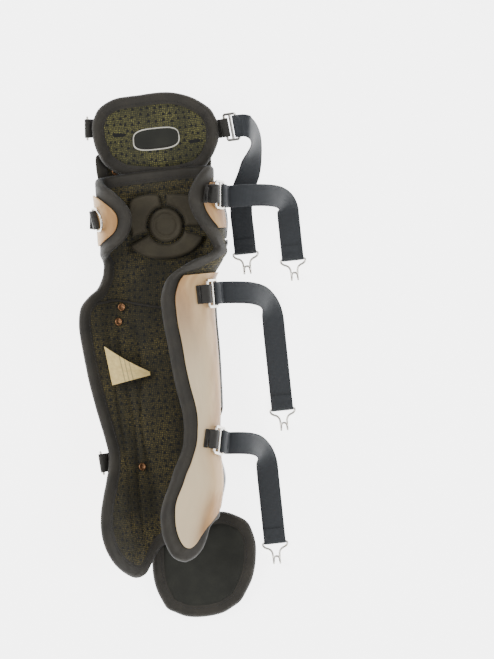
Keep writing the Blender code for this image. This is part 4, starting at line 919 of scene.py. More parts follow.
def stitches(name, panel, outline, inner, thick):
    """A row of stitches along the inner side of an edge roll."""
    line = outline + (inner - outline) * STITCH_SHARE
    run, length = lengths_round(line)
    count = int(length / STITCH_PITCH)
    places = np.arange(count) * length / count
    points = []
    for ahead, rise in ((0.0, STITCH_DIP), (STITCH_LENGTH / 2, STITCH_RISE), (STITCH_LENGTH, STITCH_DIP)):
        wanted = (places + ahead) % length
        along, y = (np.interp(wanted, run, line[:, c], period=length) for c in range(2))
        points.append(panel.point(along, y, thick + ROLL_PROUD * STITCH_SEAT + rise))
    start, middle, end = points
    way = unit(end - start)
    side = unit(np.cross(way, unit(middle * 2 - start - end)))
    up = np.cross(side, way)
    verts = [spot + (side * s + up * u) * STITCH_WIDTH * size
             for spot, size in ((start, STITCH_TAPER), (middle, 1.0), (end, STITCH_TAPER))
             for s, u in ((-0.5, 0), (0, 0.5), (0.5, 0), (0, -0.5))]
    one = np.concatenate(rod_faces(3, 4))
    faces = (one[None] + len(verts) * np.arange(count)[:, None, None]).reshape(-1, 4)
    add_piece(name, np.stack(verts, axis=1).reshape(-1, 3), [faces], None, LOOKS["thread"], (), "binding")


class Nodes:
    """Adds nodes to the tree of a material or the world. Each takes values, colours or the
    outputs of other nodes by the names or numbers of its inputs."""

    def __init__(self, tree):
        self.tree = tree

    def feed(self, node, inputs):
        for key, value in inputs.items():
            socket = node.inputs[key]
            if isinstance(value, bpy.types.NodeSocket):
                self.tree.links.new(value, socket)
            else:
                socket.default_value = (*value, 1.0) if socket.type == "RGBA" else value
        return node

    def add(self, kind, inputs, operation=None):
        made = self.tree.nodes.new("ShaderNode" + kind)
        if operation:
            made.operation = operation
        return self.feed(made, inputs)

    def mapped(self, across=1.0, down=1.0, source="UV"):
        """The cloth pattern in metres, or the object's own place, times two scales."""
        coords = self.add("TexCoord", {}).outputs[source]
        return self.add("VectorMath", {0: coords, 1: (across, down, 1.0)}, "MULTIPLY").outputs["Vector"]

    def split(self, vector):
        return self.add("SeparateXYZ", {"Vector": vector}).outputs

    def noise(self, vector, scale, detail=3.0):
        return self.add("TexNoise", {"Vector": vector, "Scale": scale, "Detail": detail}).outputs["Fac"]

    def cells(self, vector, scatter):
        return self.add("TexVoronoi", {"Vector": vector, "Scale": 1.0, "Randomness": scatter}).outputs

    def maths(self, operation, *values):
        return self.add("Math", dict(enumerate(values)), operation).outputs["Value"]

    def mixed(self, amount, a, b):
        made = self.tree.nodes.new("ShaderNodeMix")
        made.data_type = "RGBA"
        return self.feed(made, {0: amount, 6: a, 7: b}).outputs[2]

    def ramp(self, value, stops):
        """Colours, or greys where a stop is one number, between places from 0 to 1."""
        made = self.add("ValToRGB", {"Fac": value})
        elements = made.color_ramp.elements
        while len(elements) < len(stops):
            elements.new(0.5)
        for element, (place, colour) in zip(elements, stops):
            element.position = place
            element.color = (*(colour if isinstance(colour, tuple) else (colour,) * 3), 1.0)
        return made.outputs["Color"]

    def ranged(self, value, start, end):
        """0 at start, 1 at end, smooth between."""
        made = self.add("MapRange", {"Value": value, "From Min": start, "From Max": end})
        made.interpolation_type = "SMOOTHSTEP"
        return made.outputs["Result"]

    def ribs(self, vector, axis):
        """A sine across one axis of a scaled pattern, between 0 and 1."""
        wave = self.maths("SINE", self.maths("MULTIPLY", self.split(vector)[axis], 2 * math.pi))
        return self.maths("MULTIPLY_ADD", wave, 0.5, 0.5)

    def triangles(self, vector, scatter, size):
        """1 in small triangles, one to a cell of the scaled pattern."""
        spots = self.cells(vector, scatter)["Position"]
        apart = self.add("VectorMath", {0: vector, 1: spots}, "SUBTRACT").outputs["Vector"]
        reach = None
        for angle in np.radians((-90, 30, 150)):
            way = (math.cos(angle), math.sin(angle), 0.0)
            out = self.add("VectorMath", {0: apart, 1: way}, "DOT_PRODUCT").outputs["Value"]
            reach = out if reach is None else self.maths("MAXIMUM", reach, out)
        return self.maths("LESS_THAN", reach, size)


class Look(Nodes):
    """A material with one shader."""

    def __init__(self, name, colour, roughness, **weights):
        self.material = bpy.data.materials.new(name)
        self.material.use_nodes = True
        super().__init__(self.material.node_tree)
        self.shader = self.tree.nodes["Principled BSDF"]
        self.feed(self.shader, {"Base Color": colour, "Roughness": roughness})
        self.feed(self.shader, {key.title() + " Weight": value for key, value in weights.items()})

    def colour(self, value):
        self.feed(self.shader, {"Base Color": value})

    def bumped(self, height, distance, strength):
        bump = self.add("Bump", {"Height": height, "Distance": distance, "Strength": strength})
        self.feed(self.shader, {"Normal": bump.outputs["Normal"]})


def mesh_look(name, dark, glint_colour):
    """Open spacer mesh: dark threads with a painted yellowish glint (highlight), patchy in strength, and
    scattered triangular holes of painted shade.
    """
    look = Look(name, dark, 0.80, sheen=0.03)
    threads = look.cells(look.mapped(MESH_THREADS, MESH_THREADS), THREAD_SCATTER)["Distance"]
    glint = look.ramp(threads, ((0.12, 1.0), (0.52, 0.0)))
    metres = look.mapped()
    # Patches where the painted glint is stronger or weaker
    wear_and_glint = look.ramp(look.noise(metres, 24.0), ((0.40, 0.25), (0.66, 1.0)))
    spots = look.ramp(look.noise(metres, 700.0, detail=1.0), ((0.42, 0.35), (0.62, 1.0)))
    amount = look.maths("MULTIPLY", look.maths("MULTIPLY", glint, wear_and_glint), spots)
    holes = look.triangles(look.mapped(HOLES, HOLES), HOLE_SCATTER, HOLE_SIZE)
    # The holes are coloured with painted shade
    look.colour(look.mixed(holes, look.mixed(amount, dark, glint_colour), MESH_HOLE_SHADE))
    look.bumped(look.maths("SUBTRACT", glint, look.maths("MULTIPLY", holes, 2.0)), 0.0004, 0.6)
    return look


def foam_look():
    """Smooth knitted face of the moulded knee cushion."""
    look = Look("cushion", FOAM, 0.75, sheen=0.06)
    place = look.mapped(source="Object")
    look.colour(look.ramp(look.noise(place, 60.0), ((0.3, FOAM), (0.8, FOAM_LIGHT))))
    look.bumped(look.noise(place, 1600.0, detail=2.0), 0.0002, 0.5)
    return look


def binding_look():
    """Knitted edge binding, charcoal with a cool sheen."""
    look = Look("binding", BINDING, 0.70, sheen=0.10)
    look.feed(look.shader, {"Sheen Tint": BINDING_SHEEN, "Sheen Roughness": 0.45})
    knit = look.ribs(look.mapped(1 / KNIT, 1 / KNIT), 0)
    metres = look.mapped()
    look.colour(look.ramp(look.noise(metres, 45.0), ((0.3, BINDING), (0.75, BINDING_LIGHT))))
    fuzz = look.noise(metres, 1500.0, detail=2.0)
    look.bumped(look.maths("ADD", look.maths("MULTIPLY", knit, 0.5), fuzz), 0.00025, 0.5)
    return look


def tan_look():
    """Synthetic leather of the covers: soft creases, browner by the plate, and a painted
    whitish sheen (highlight) towards the edge roll and the ankle."""
    look = Look("tan_cover", TAN, 0.44)
    metres, stretched = look.mapped(), look.mapped(1.0, 0.35)
    wear_and_glint = look.ramp(look.noise(stretched, 26.0, detail=4.0),
                     ((0.42, TAN), (0.52, TAN_MIDDLE), (0.60, TAN_PALE)))
    along, y = look.split(metres)[:2]
    # Painted whitish sheen: stronger up the wings and lower down the leg
    sway = look.maths("MULTIPLY", look.noise(stretched, 30.0), PALE_SWAY)
    outwards = look.ranged(look.maths("SUBTRACT", look.maths("ABSOLUTE", along), sway), *PALE_ALONG)
    pale = look.maths("MULTIPLY", outwards, look.ranged(y, *PALE_Y))
    look.colour(look.mixed(look.maths("MULTIPLY", pale, PALE_MOST), wear_and_glint, TAN_SHEEN))
    creases = look.noise(look.mapped(1.0, 0.45), 130.0, detail=4.0)
    grain = look.maths("MULTIPLY", look.noise(metres, 1400.0, detail=2.0), 0.12)
    look.bumped(look.maths("ADD", creases, grain), 0.0008, 0.6)
    return look


def shell_look():
    """Glossy black moulded plastic with faint scuffs."""
    look = Look("shell_plastic", SHELL_BLACK, 0.22, coat=0.35)
    scuffs = look.noise(look.mapped(source="Object"), 90.0, detail=5.0)
    look.feed(look.shader, {"Roughness": look.ramp(scuffs, ((0.35, 0.16), (0.75, 0.38)))})
    return look


def strap_look(name, colour, light, pitch):
    """Woven strap: fine ribs along it and picks across it, with painted highlight on their tops and
    painted shade between them.
    """
    look = Look(name, colour, 0.7, sheen=0.06)
    lengthwise = look.ribs(look.mapped(1 / pitch, 1 / pitch), 1)
    picks = look.ribs(look.mapped(0.8 / pitch, 1 / pitch), 0)
    height = look.maths("MULTIPLY", lengthwise, look.maths("MULTIPLY_ADD", picks, 0.5, 0.5))
    # Painted highlight on the raised weave and painted shade in its grooves
    look.colour(look.mixed(height, colour, light))
    look.bumped(height, 0.0003, 0.7)
    return look


def metal_look(name, colour, wear_and_glint, roughness):
    """Metal that is duller in small spots."""
    look = Look(name, colour, roughness)
    look.feed(look.shader, {"Metallic": 1.0})
    wear = look.noise(look.mapped(source="Object"), 260.0, detail=4.0)
    look.colour(look.ramp(wear, ((0.35, colour), (0.62, colour), (0.78, wear_and_glint))))
    return look


def label_look():
    """Woven label, cream with scattered darker patches and plain ruled lines."""
    look = Look("label", LABEL_CREAM, 0.6)
    metres = look.mapped()
    across = look.split(metres)[0]
    lines = look.maths("GREATER_THAN", look.ribs(look.mapped(1 / RULE_PITCH), 0), 0.86)
    band = look.maths("MULTIPLY", look.maths("GREATER_THAN", across, RULES[0]),
                      look.maths("LESS_THAN", across, RULES[1]))
    ruled = look.maths("MULTIPLY", lines, look.maths("MULTIPLY", band, 0.55))
    shade = look.ramp(look.noise(metres, 220.0), ((0.3, LABEL_CREAM), (0.8, LABEL_SHADE)))
    look.colour(look.mixed(ruled, shade, LABEL_INK))
    look.bumped(look.noise(look.mapped(1.0, 5.0), 900.0), 0.0002, 0.4)
    return look


def plain_look(name, colour, roughness):
    """A plain cloth: uneven colour and a fine grain."""
    look = Look(name, colour, roughness, sheen=0.04)
    place = look.mapped(source="Object")
    brighter = tuple(c * 1.6 + 0.004 for c in colour)
    look.colour(look.ramp(look.noise(place, 50.0), ((0.3, colour), (0.8, brighter))))
    look.bumped(look.noise(place, 900.0, detail=2.0), 0.0002, 0.5)
    return look


def make_looks():
    made = {
        "mesh": mesh_look("lining_mesh", MESH_DARK, MESH_GLINT),
        "thigh": mesh_look("thigh_mesh", THIGH_DARK, THIGH_GLINT),
        "foam": foam_look(),
        "binding": binding_look(),
        "tan": tan_look(),
        "shell": shell_look(),
        "webbing": strap_look("webbing", WEBBING, WEBBING_RIB_HIGHLIGHT, WEBBING_PITCH),
        "elastic": strap_look("elastic", ELASTIC, ELASTIC_RIB_HIGHLIGHT, ELASTIC_PITCH),
        "metal": metal_look("plated_metal", PLATED, PLATED_WORN, 0.22),
        "copper": metal_look("rivet_metal", COPPER, COPPER_WORN, 0.42),
        "label": label_look(),
        "foot": plain_look("foot_cloth", FOOT_CLOTH, 0.85),
        "thread": plain_look("thread", THREAD, 0.7),
        "dark": plain_look("slot_shadow", SLOT_SHADOW, 0.95),
        "patch": plain_look("badge_cloth", BADGE_CLOTH, 0.8),
    }
    LOOKS.update((key, look.material) for key, look in made.items())


def closed_curve(points):
    """A closed loop with FINER steps between each pair of points, on a smooth curve."""
    t = np.arange(FINER)[:, None] / FINER
    before, here, after, beyond = (np.roll(points, k, axis=0)[:, None] for k in (1, 0, -1, -2))
    curve = cubic(t, here, after, (after - before) / 2, (beyond - here) / 2)
    return curve.reshape(-1, points.shape[1])


def split_inset(top, right, bottom, left):
    """A pad's outline, its inner edge one roll's width in, and that edge as four sides."""
    loop = np.concatenate((top[:-1], right[:-1], bottom[:0:-1], left[:0:-1]))
    inner = closed_curve(inset(loop, ROLL_WIDTH))
    a = (len(top) - 1) * FINER
    b = a + (len(right) - 1) * FINER
    c = b + (len(bottom) - 1) * FINER
    closed = np.concatenate((inner, inner[:1]))
    sides = closed[:a + 1], closed[a:b + 1], closed[b:c + 1][::-1], closed[c:][::-1]
    return closed_curve(loop), inner, *sides


def finer_shares(shares):
    """Shares with FINER steps between each pair."""
    count = len(shares)
    return np.interp(np.linspace(0, count - 1, (count - 1) * FINER + 1), np.arange(count), shares)


def border_share(rows, columns):
    """How near each point of a grid is to its border: 0 on it, 0.5 in the middle."""
    v, u = np.linspace(0, 1, rows)[:, None], np.linspace(0, 1, columns)[None]
    return np.minimum(np.minimum(u, 1 - u), np.minimum(v, 1 - v))


def pad_piece(name, panel, grid, thick, edge, puff, seed, look="mesh", folds=None):
    """A pad whose face is low at its border, full within, a little uneven and creased."""
    rise = fade(border_share(*grid.shape[:2]), *PAD_RISE)
    along, y = grid[..., 0], grid[..., 1]
    uneven = sum(waves(along, y, pitch, seed + more) * puff * share for share, pitch, more in PAD_WAVES)
    high = edge + (thick - edge) * rise + rise * uneven
    if folds is not None:
        high = high - rise * folds(along, y)
    made = panel_sheet(name, panel, grid, 0.0, high, look, "lining_mesh")


def simple_pad(name, panel, edges, columns, rows, thick, edge, puff, seed, look):
    """A pad with one edge roll all round."""
    u, v = np.linspace(0.0, 1.0, columns), np.linspace(0.0, 1.0, rows)
    top, bottom, left, right = (smooth_path(panel.edge(table), shares)
                                for table, shares in zip(edges, (u, u, v, v)))
    loop, inner, top, right, bottom, left = split_inset(top, right, bottom, left)
    grid = patch(top, bottom, left, right, finer_shares(u), finer_shares(v))
    pad_piece(name + "_pad", panel, grid, thick, edge, puff, seed, look)
    edge_roll(name + "_binding", panel, loop, inner, edge)


def groove(place, centre, half):
    """1 on a line, falling to 0 at half to either side."""
    return np.exp(-((place - centre) / half) ** 2)


def knee_folds(along, y):
    """Creases at the narrow neck below the knee, one across it above the cushion, and the
    moulded channels round the cushion."""
    slope, *lateral = NECK_LATERAL
    neck = groove(y + slope * np.abs(along), *lateral)
    slope, *medial = NECK_MEDIAL
    neck = neck + groove(y - slope * along, *medial)
    above = (groove(y - KNEE_SLOPE * along - KNEE_BOW * along ** 2, *KNEE_PLACE)
             * fade(-np.abs(along), *KNEE_REACH))
    depth = neck * NECK_CREASE * fade(-y, *NECK_START) + KNEE_CREASE * above
    below = DISC_CENTRE[1] - y
    reach = np.hypot(along - DISC_CENTRE[0], y - DISC_CENTRE[1])
    for deep, radius, half, start, end in CHANNELS:
        depth = depth + deep * groove(reach, DISC_RADIUS * radius, half) * fade(below, start, end)
    return depth


def shin_folds(along, y):
    """Long soft creases down the hollow, where the lining is bent round the leg."""
    sway = SHIN_SWAY * np.sin(y * SHIN_SWAY_PITCH)
    depth = sum(deep * groove(along + sway * share, place, half)
                for deep, share, place, half in SHIN_CREASES)
    return depth * fade(-y, *SHIN_START)


def liner():
    """The lining from knee to ankle: one edge roll round two pads that meet at a seam.
    Returns its inner edges at the tables' own steps."""
    u = np.array(LINER_COLUMNS)
    v_knee, v_shin = np.linspace(0.0, 1.0, KNEE_ROWS), np.linspace(0.0, 1.0, SHIN_ROWS)
    top, seam, hem = (smooth_path(LINER.edge(table), u) for table in (LINER_TOP, LINER_SEAM, LINER_HEM))
    left, right = (np.concatenate((smooth_path(LINER.edge(knee), v_knee),
                                   smooth_path(LINER.edge(shin), v_shin)[1:]))
                   for knee, shin in ((KNEE_LATERAL, SHIN_LATERAL), (KNEE_MEDIAL, SHIN_MEDIAL)))
    loop, inner, top, right, hem, left = split_inset(top, right, hem, left)
    edge_roll("liner_binding", LINER, loop, inner, PAD_EDGE)

    split = (KNEE_ROWS - 1) * FINER
    share = finer_shares(u)[:, None]
    seam = refine(seam, len(share))
    seam = seam + (1 - share) * (left[split] - seam[0]) + share * (right[split] - seam[-1])
    half = np.array((0.0, LAYER_GAP / 2))
    knee = (top, seam, left[:split + 1], right[:split + 1])
    shin = (seam, hem, left[split:], right[split:])
    for name, edges, v, shift, row, folds, seed in (
            ("knee_pad", knee, v_knee, half, -1, knee_folds, 3.0),
            ("shin_pad", shin, v_shin, -half, 0, shin_folds, 7.0)):
        grid = patch(*edges, share[:, 0], finer_shares(v))
        grid[row] += shift
        pad_piece(name, LINER, grid, PAD, PAD_EDGE, LINER_PUFF, seed, folds=folds)
    seam_piping(seam)
    return left[::FINER], right[::FINER], hem[::FINER]


def seam_piping(seam):
    """A thin raised cord sewn over the seam between the knee and shin pads."""
    along, y = smooth_path(seam, np.linspace(0.0, 1.0, PIPING_POINTS)).T
    waver = waves(along, 0.0, PIPING_PITCH, 1.0)[:, None] * np.array(PIPING_WAVER)
    path = LINER.point(along, y, PAD_EDGE + PIPING_LIFT) + waver
    tube("seam_piping", path, PIPING, "binding", (), "binding", PIPING_SIDES, False)


def tube(name, path, radius, look, nodes, slot, sides=WIRE_SIDES, closed=True):
    """A round wire along a path of points."""
    count = len(path)
    ahead = np.roll(path, -1, axis=0) - path
    behind = path - np.roll(path, 1, axis=0)
    if not closed:
        ahead[-1] = behind[-1]
        behind[0] = ahead[0]
    tangents = unit(unit(ahead) + unit(behind))
    flat = np.linalg.svd(path - path.mean(axis=0))[2][2]
    side = unit(np.cross(flat, tangents))
    up = np.cross(tangents, side)
    angles = 2 * math.pi * (np.arange(sides) + 0.5) / sides
    ring = np.cos(angles)[None, :, None] * side[:, None] + np.sin(angles)[None, :, None] * up[:, None]
    verts = (path[:, None] + radius * ring).reshape(-1, 3)
    faces = [quads(count, sides, True, True)] if closed else rod_faces(count, sides)
    add_piece(name, verts, faces, None, LOOKS[look], nodes, slot)


def ribbon(name, path, across, width, thick, look):
    """A flat strap along a path. across gives the direction of its width at each point."""
    count = (len(path) - 1) * FINER + 1
    path, across = refine(path, count), refine(across, count)
    tangents = unit(np.gradient(path, axis=0))
    side = unit(across - tangents * (across * tangents).sum(axis=1)[:, None])
    face = np.cross(tangents, side)
    section = np.array(RIBBON_SECTION)
    verts = (path[:, None] + side[:, None] * section[None, :, :1] * width / 2
             + face[:, None] * section[None, :, 1:] * thick / 2)
    pattern = pairs(lengths_along(path)[:, None], section[None, :, 0] * width / 2)
    add_piece(name, verts.reshape(-1, 3), rod_faces(count, len(section)), pattern, LOOKS[look], (name,),
              look)


def lateral_border(station):
    """Signed distance along the section to the shin plate's lateral edge."""
    flat, bend, turn = LINER.side(station, False)
    return -float(flat + bend * turn * LATERAL_BORDER)


def cover_border(y, medial):
    """The pattern point on the border between a plate and a cover."""
    station = float(liner_station(y))
    if medial or station < 1.0:
        return LINER.along_at_turn(station, COVER_TURN, medial), y
    return lateral_border(station) - 2 * SEAT_GAP, y


def covers(left, right, hem):
    """Tan covers of the four wings, split where the lining is narrowest."""
    knee_columns, *shin_columns = COVER_COLUMNS
    for side, edge, medial in (("lateral", left, False), ("medial", right, True)):
        room = np.array([abs(along) - abs(cover_border(y, medial)[0]) for along, y in edge])
        first = KNEE_ROWS // 3
        neck = first + int(np.argmin(room[first:KNEE_ROWS + 3]))
        wide = room > COVER_STRIP
        span = edge[1:neck][wide[1:neck]]
        wing_cover("knee_cover_" + side, span, span[:, 1], medial, knee_columns)
        span = edge[neck + 3:-1][wide[neck + 3:-1]]
        ends = span[:, 1]
        if medial:
            span = np.concatenate((span, hem[::-1][:COVER_HEM_ROWS]))
            ends = np.linspace(span[0][1], float(liner_y(COVER_END)), len(span))
        wing_cover("shin_cover_" + side, span, ends, medial, shin_columns[medial])


def wing_cover(name, edge, ends, medial, columns):
    """A thin cover on a wing's outer face, from just inside the edge roll to the plate."""
    border = np.array([cover_border(y, medial) for y in ends])
    edge = edge + unit(border - edge) * COVER_TRIM
    share = np.linspace(0, 1, columns)[None, :, None]
    grid = refine(border[:, None] + (edge - border)[:, None] * share, (len(edge) - 1) * FINER + 1)
    grid = refine(grid.swapaxes(0, 1), columns * COVER_STEPS).swapaxes(0, 1)
    rows, columns = grid.shape[:2]
    v = np.linspace(0, 1, rows)[:, None] + np.zeros((1, columns))
    seat = COVER_SEAT + TWIST_GAP * (1 - fade(v, 0.0, COVER_TWIST))
    within = fade(border_share(rows, columns), 0.0, COVER_HEM_REACH)
    uneven = waves(grid[..., 0], grid[..., 1] * CREASE_STRETCH, CREASE_PITCH, 9.0)
    soft = CREASE * within * (0.5 + 0.5 * uneven)
    thick = COVER * (COVER_HEM + (1 - COVER_HEM) * within)
    panel_sheet(name, LINER, grid, -seat - thick - soft, -seat, "tan", "tan_cover")


def plate(name, panel, span, reach, outward, floor=None, seat=0.0, rows=90):
    """A hard plate on a panel's outer face. reach gives its two borders at a station,
    outward its thickness from the row and column shares, and seat its extra distance."""
    v, u = np.linspace(0, 1, rows)[:, None], np.linspace(0, 1, PLATE_COLUMNS)[None]
    stations = span[0] + (span[1] - span[0]) * v[:, 0]
    ends = np.array([reach(s) for s in stations], dtype=float)
    along = ends[:, :1] + (ends[:, 1:] - ends[:, :1]) * u
    grid = np.stack(np.broadcast_arrays(along, panel.y_at(stations)[:, None]), axis=-1)
    rim = fade(border_share(*along.shape), *PLATE_RIM)
    deep = outward(v, u) * (PLATE_RIM_SHARE + (1 - PLATE_RIM_SHARE) * rim)
    seat += LAYER_GAP
    panel_sheet(name, panel, grid, -seat - deep, -seat, "shell", "shell", floor, 35)


def bulge(v, u, power=2.0):
    """1 in the middle of a plate, 0 at its borders."""
    return (1 - np.abs(2 * u - 1) ** power) * (1 - np.abs(2 * v - 1) ** power)


def shells():
    """The hard plates, from the thigh to the foot."""
    def turned(station, lateral, medial):
        """The two borders at angles round the bends."""
        return LINER.along_at_turn(station, lateral, False), LINER.along_at_turn(station, medial, True)

    def thigh_reach(station):
        narrowing = THIGH_NARROWING * abs(2 * (station - THIGH_WIDEST)) ** 3
        half = THIGH_SHELL_HALF * THIGH_WIDTH * (1 - narrowing)
        return -half, half

    def knee_reach(station):
        return turned(station, SHELL_TURN - KNEE_LATERAL_TURN, SHELL_TURN)

    def neck_reach(station):
        turn = SHELL_TURN - NECK_TURN_BACK * fade(station, *NECK_STATIONS)
        return turned(station, turn - NECK_LATERAL_TURN, turn)

    def shin_reach(station):
        back = SHIN_TURN_BACK * (1 - fade(station, *SHIN_MEDIAL_STATIONS))
        medial = LINER.along_at_turn(station, SHELL_TURN - back, True)
        notch = LINER.side(station, True)[0] * NOTCH_FLAT
        reach = fade(station, *SHIN_LATERAL_STATIONS)
        return (lateral_border(station) * (SHIN_LATERAL_START + (1 - SHIN_LATERAL_START) * reach),
                medial + (notch - medial) * fade(station, *SHIN_NOTCH))

    def ankle_reach(station):
        notch = LINER.side(station, True)[0] * NOTCH_FLAT
        return notch + 2 * LAYER_GAP, LINER.along_at_turn(station, SHELL_TURN, True)

    def foot_reach(station):
        taper = FOOT_SHELL_TAPER * clamp((station - FOOT_TAPER_START) / FOOT_TAPER_REACH, 0, 1) ** 2
        half = FOOT_WIDTH * (FOOT_SHELL_HALF - taper)
        return -half, half

    def shin_out(v, u):
        along = np.sin(math.pi * np.clip(v * RIDGE_RUN, 0, 1)) ** 0.5
        ridge = RIDGE * np.maximum(0.0, 1 - np.abs(u - RIDGE_PLACE) / RIDGE_HALF) * along
        lip = SHELL_LIP * np.clip((np.abs(2 * u - 1) - LIP_START) / (1 - LIP_START), 0, 1)
        return SHELL + ridge + lip

    plate("thigh_shell", THIGH, THIGH_SHELL_SPAN, thigh_reach,
          lambda v, u: SHELL + RIDGE * bulge(v, u) * (1 - v), rows=50)
    plate("upper_knee_shell", BRIDGE, BRIDGE_SHELL_SPAN,
          lambda s: [share * THIGH_WIDTH for share in BRIDGE_SHELL_REACH],
          lambda v, u: SHELL, seat=ROLL_PROUD, rows=30)
    plate("knee_cap", LINER, KNEE_CAP_SPAN, knee_reach,
          lambda v, u: SHELL + KNEE_CAP_RISE * KNEE_LIFT * bulge(v, u, CAP_POWER), floor=0.0)
    plate("lower_knee_shell", LINER, LOWER_KNEE_SPAN, neck_reach,
          lambda v, u: SHELL + RIDGE * bulge(v, u), seat=TWIST_GAP, rows=40)
    plate("shin_shell", LINER, SHIN_SHELL_SPAN, shin_reach, shin_out, seat=TWIST_GAP, rows=200)
    plate("ankle_cap", LINER, ANKLE_CAP_SPAN, ankle_reach,
          lambda v, u: SHELL + ANKLE_BULGE * bulge(v, u), rows=50)
    plate("foot_shell", FOOT, FOOT_SHELL_SPAN, foot_reach, lambda v, u: SHELL, floor=0.0)


def segment(name, table):
    """A cushion segment round the knee disc, rounded down at its border."""
    table = np.array(table, dtype=float)
    rows, columns = SEGMENT_GRID
    angles = np.linspace(table[0, 0], table[-1, 0], columns)
    radii = np.interp(angles, table[:, 0], table[:, 1]) * DISC_RADIUS
    window = np.ones(2 * SEGMENT_SMOOTHING + 1)
    radii = np.pad(radii, SEGMENT_SMOOTHING, mode="edge")
    radii = np.convolve(radii, window / window.size, mode="valid")
    start = DISC_RADIUS + DISC_GROOVE
    share, sweep = np.linspace(0, 1, rows), np.linspace(0, 1, columns)
    radius = start + (radii[None] - start) * share[:, None]
    angles = np.radians(angles)
    grid = np.stack((DISC_CENTRE[0] + radius * np.cos(angles), DISC_CENTRE[1] + radius * np.sin(angles)),
                    axis=-1)
    across = np.minimum(share, 1 - share)[:, None] * (radii[None] - start)
    along = np.minimum(sweep, 1 - sweep)[None] * radius * abs(np.ptp(angles))
    edge = np.clip(np.minimum(across, along) / CUSHION_ROUND, 0, 1)
    depth, pitch = SEGMENT_WAVES
    height = (SEGMENT_EDGE + SEGMENT_CROWN * np.sqrt(1 - (1 - edge) ** 2)
              + depth * waves(grid[..., 0], grid[..., 1], pitch, 4.0))
    low = PAD + LAYER_GAP
    made = panel_sheet(name, LINER, grid, low, low + CUSHION * np.minimum(height, 1.0), "foam",
                       "cushion", smooth_angle=80)


def mound(name, panel, centre, outline, levels, low, high, look, nodes, slot, smooth_angle=50):
    """A flat-bottomed piece that rises in rings of one outline. Each level is the outline's
    share and a share of the height."""
    verts, pattern = [], []
    for share, level in levels:
        spot = centre + outline * share
        verts.append(panel.point(spot[:, 0], spot[:, 1], low + level * high))
        pattern.append(spot)
    return add_piece(name, np.concatenate(verts), rod_faces(len(verts), len(outline)),
                     np.concatenate(pattern), LOOKS[look], nodes, slot, smooth_angle)


def disc():
    """The round cushion in the middle, with a shallow rim."""
    shares = np.sin(np.linspace(0, math.pi / 2, DISC_RINGS + 1))[:0:-1]
    shoulder = ((shares - DISC_SHOULDER) / (1 - DISC_SHOULDER)).clip(0, 1)
    depth, place, half = DISC_DISH
    heights = ((DISC_EDGE + DISC_CROWN * np.sqrt(np.clip(1 - shoulder ** 2, 0, 1)))
               * (1.0 - depth * groove(shares, place, half)))
    made = mound("knee_disc", LINER, DISC_CENTRE, circle(DISC_SIDES) * DISC_RADIUS,
                 [(1.0, 0.0), *zip(shares, heights)], PAD + LAYER_GAP, CUSHION, "foam", ("knee_disc",),
                 "cushion", 80)


def oval_patch(name, middle, half, foot, high, power, look, slot):
    """A flat sewn patch on the thigh pad, a rounded shape between an oval and a box."""
    way = circle(PATCH_SIDES)
    outline = np.sign(way) * np.abs(way) ** (2 / power) * half
    levels = [(1 - k / PATCH_RINGS, min(1.0, PATCH_EDGE + k * PATCH_RISE)) for k in range(PATCH_RINGS)]
    centre = np.array((middle[0] - THIGH.middle(DETAIL_STATION), middle[1]))
    mound(name, THIGH, centre, outline, [(1.0, 0.0), *levels], PAD + foot, high, look, (), slot)


def rivet(name, panel, x, station, base):
    """A round rivet head with a rolled rim and a shallow hollow."""
    y = float(panel.y_at(station))
    along = panel.along_at_x(x * panel.width, float(panel.station_at(y)), 0)
    centre = panel.point(along, y, base)
    normal = unit(panel.point(along, y, base + 0.001) - centre)
    side = unit(np.cross(normal, (0.0, 1.0, 0.0)))
    way = circle(RIVET_SIDES)
    ring = way[:, :1] * side + way[:, 1:] * np.cross(normal, side)
    verts = [centre + normal * level * RIVET_HEIGHT + RIVET_RADIUS * share * ring
             for share, level in RIVET_PROFILE]
    add_piece(name, np.concatenate(verts), rod_faces(len(verts), RIVET_SIDES), None, LOOKS["copper"],
              (name,), "rivet_metal", 40)


def label():
    """A folded woven label, sewn in at the lateral roll, its tip lying over the lining."""
    def place(spot, lift):
        x, station = spot
        return LINER.point(LINER.along_at_x(x * LINER_WIDTH, station, 0), LINER.y_at(station), PAD + lift)

    top, bottom = (place(spot, 2 * SEAT_GAP + LABEL) for spot in (LABEL_TOP, LABEL_BOTTOM))
    tip = place(LABEL_TIP, LABEL_LIFT)
    j = np.linspace(0, 1, LABEL_ROWS)[:, None, None]
    i = np.linspace(0, 1, LABEL_COLUMNS)[None, :, None]
    arch = np.sin(math.pi * j)
    edge = top + (bottom - top) * i
    end = tip + np.array((0.0, LABEL_TIP_WIDTH, 0.0)) * (0.5 - i)
    ripple = np.sin(i * LABEL_RIPPLES[0] + j * LABEL_RIPPLES[1])
    rise = LABEL_ARCH * arch + LABEL_RIPPLE * ripple * arch
    bow = np.array(LABEL_BOW) * arch * (1 - i)
    inner = edge + (end - edge) * j + bow + np.array((0.0, 0.0, 1.0)) * rise
    verts = np.concatenate((inner.reshape(-1, 3), (inner - (0.0, 0.0, LABEL)).reshape(-1, 3)))
    length = np.linalg.norm(tip - (top + bottom) / 2)
    pattern = np.tile(pairs(j[..., 0] * length, i[..., 0] * np.linalg.norm(bottom - top)), (2, 1))
    add_piece("label_flap", verts, sheet_faces(LABEL_ROWS, LABEL_COLUMNS), pattern, LOOKS["label"],
              ("label_flap",), "label")


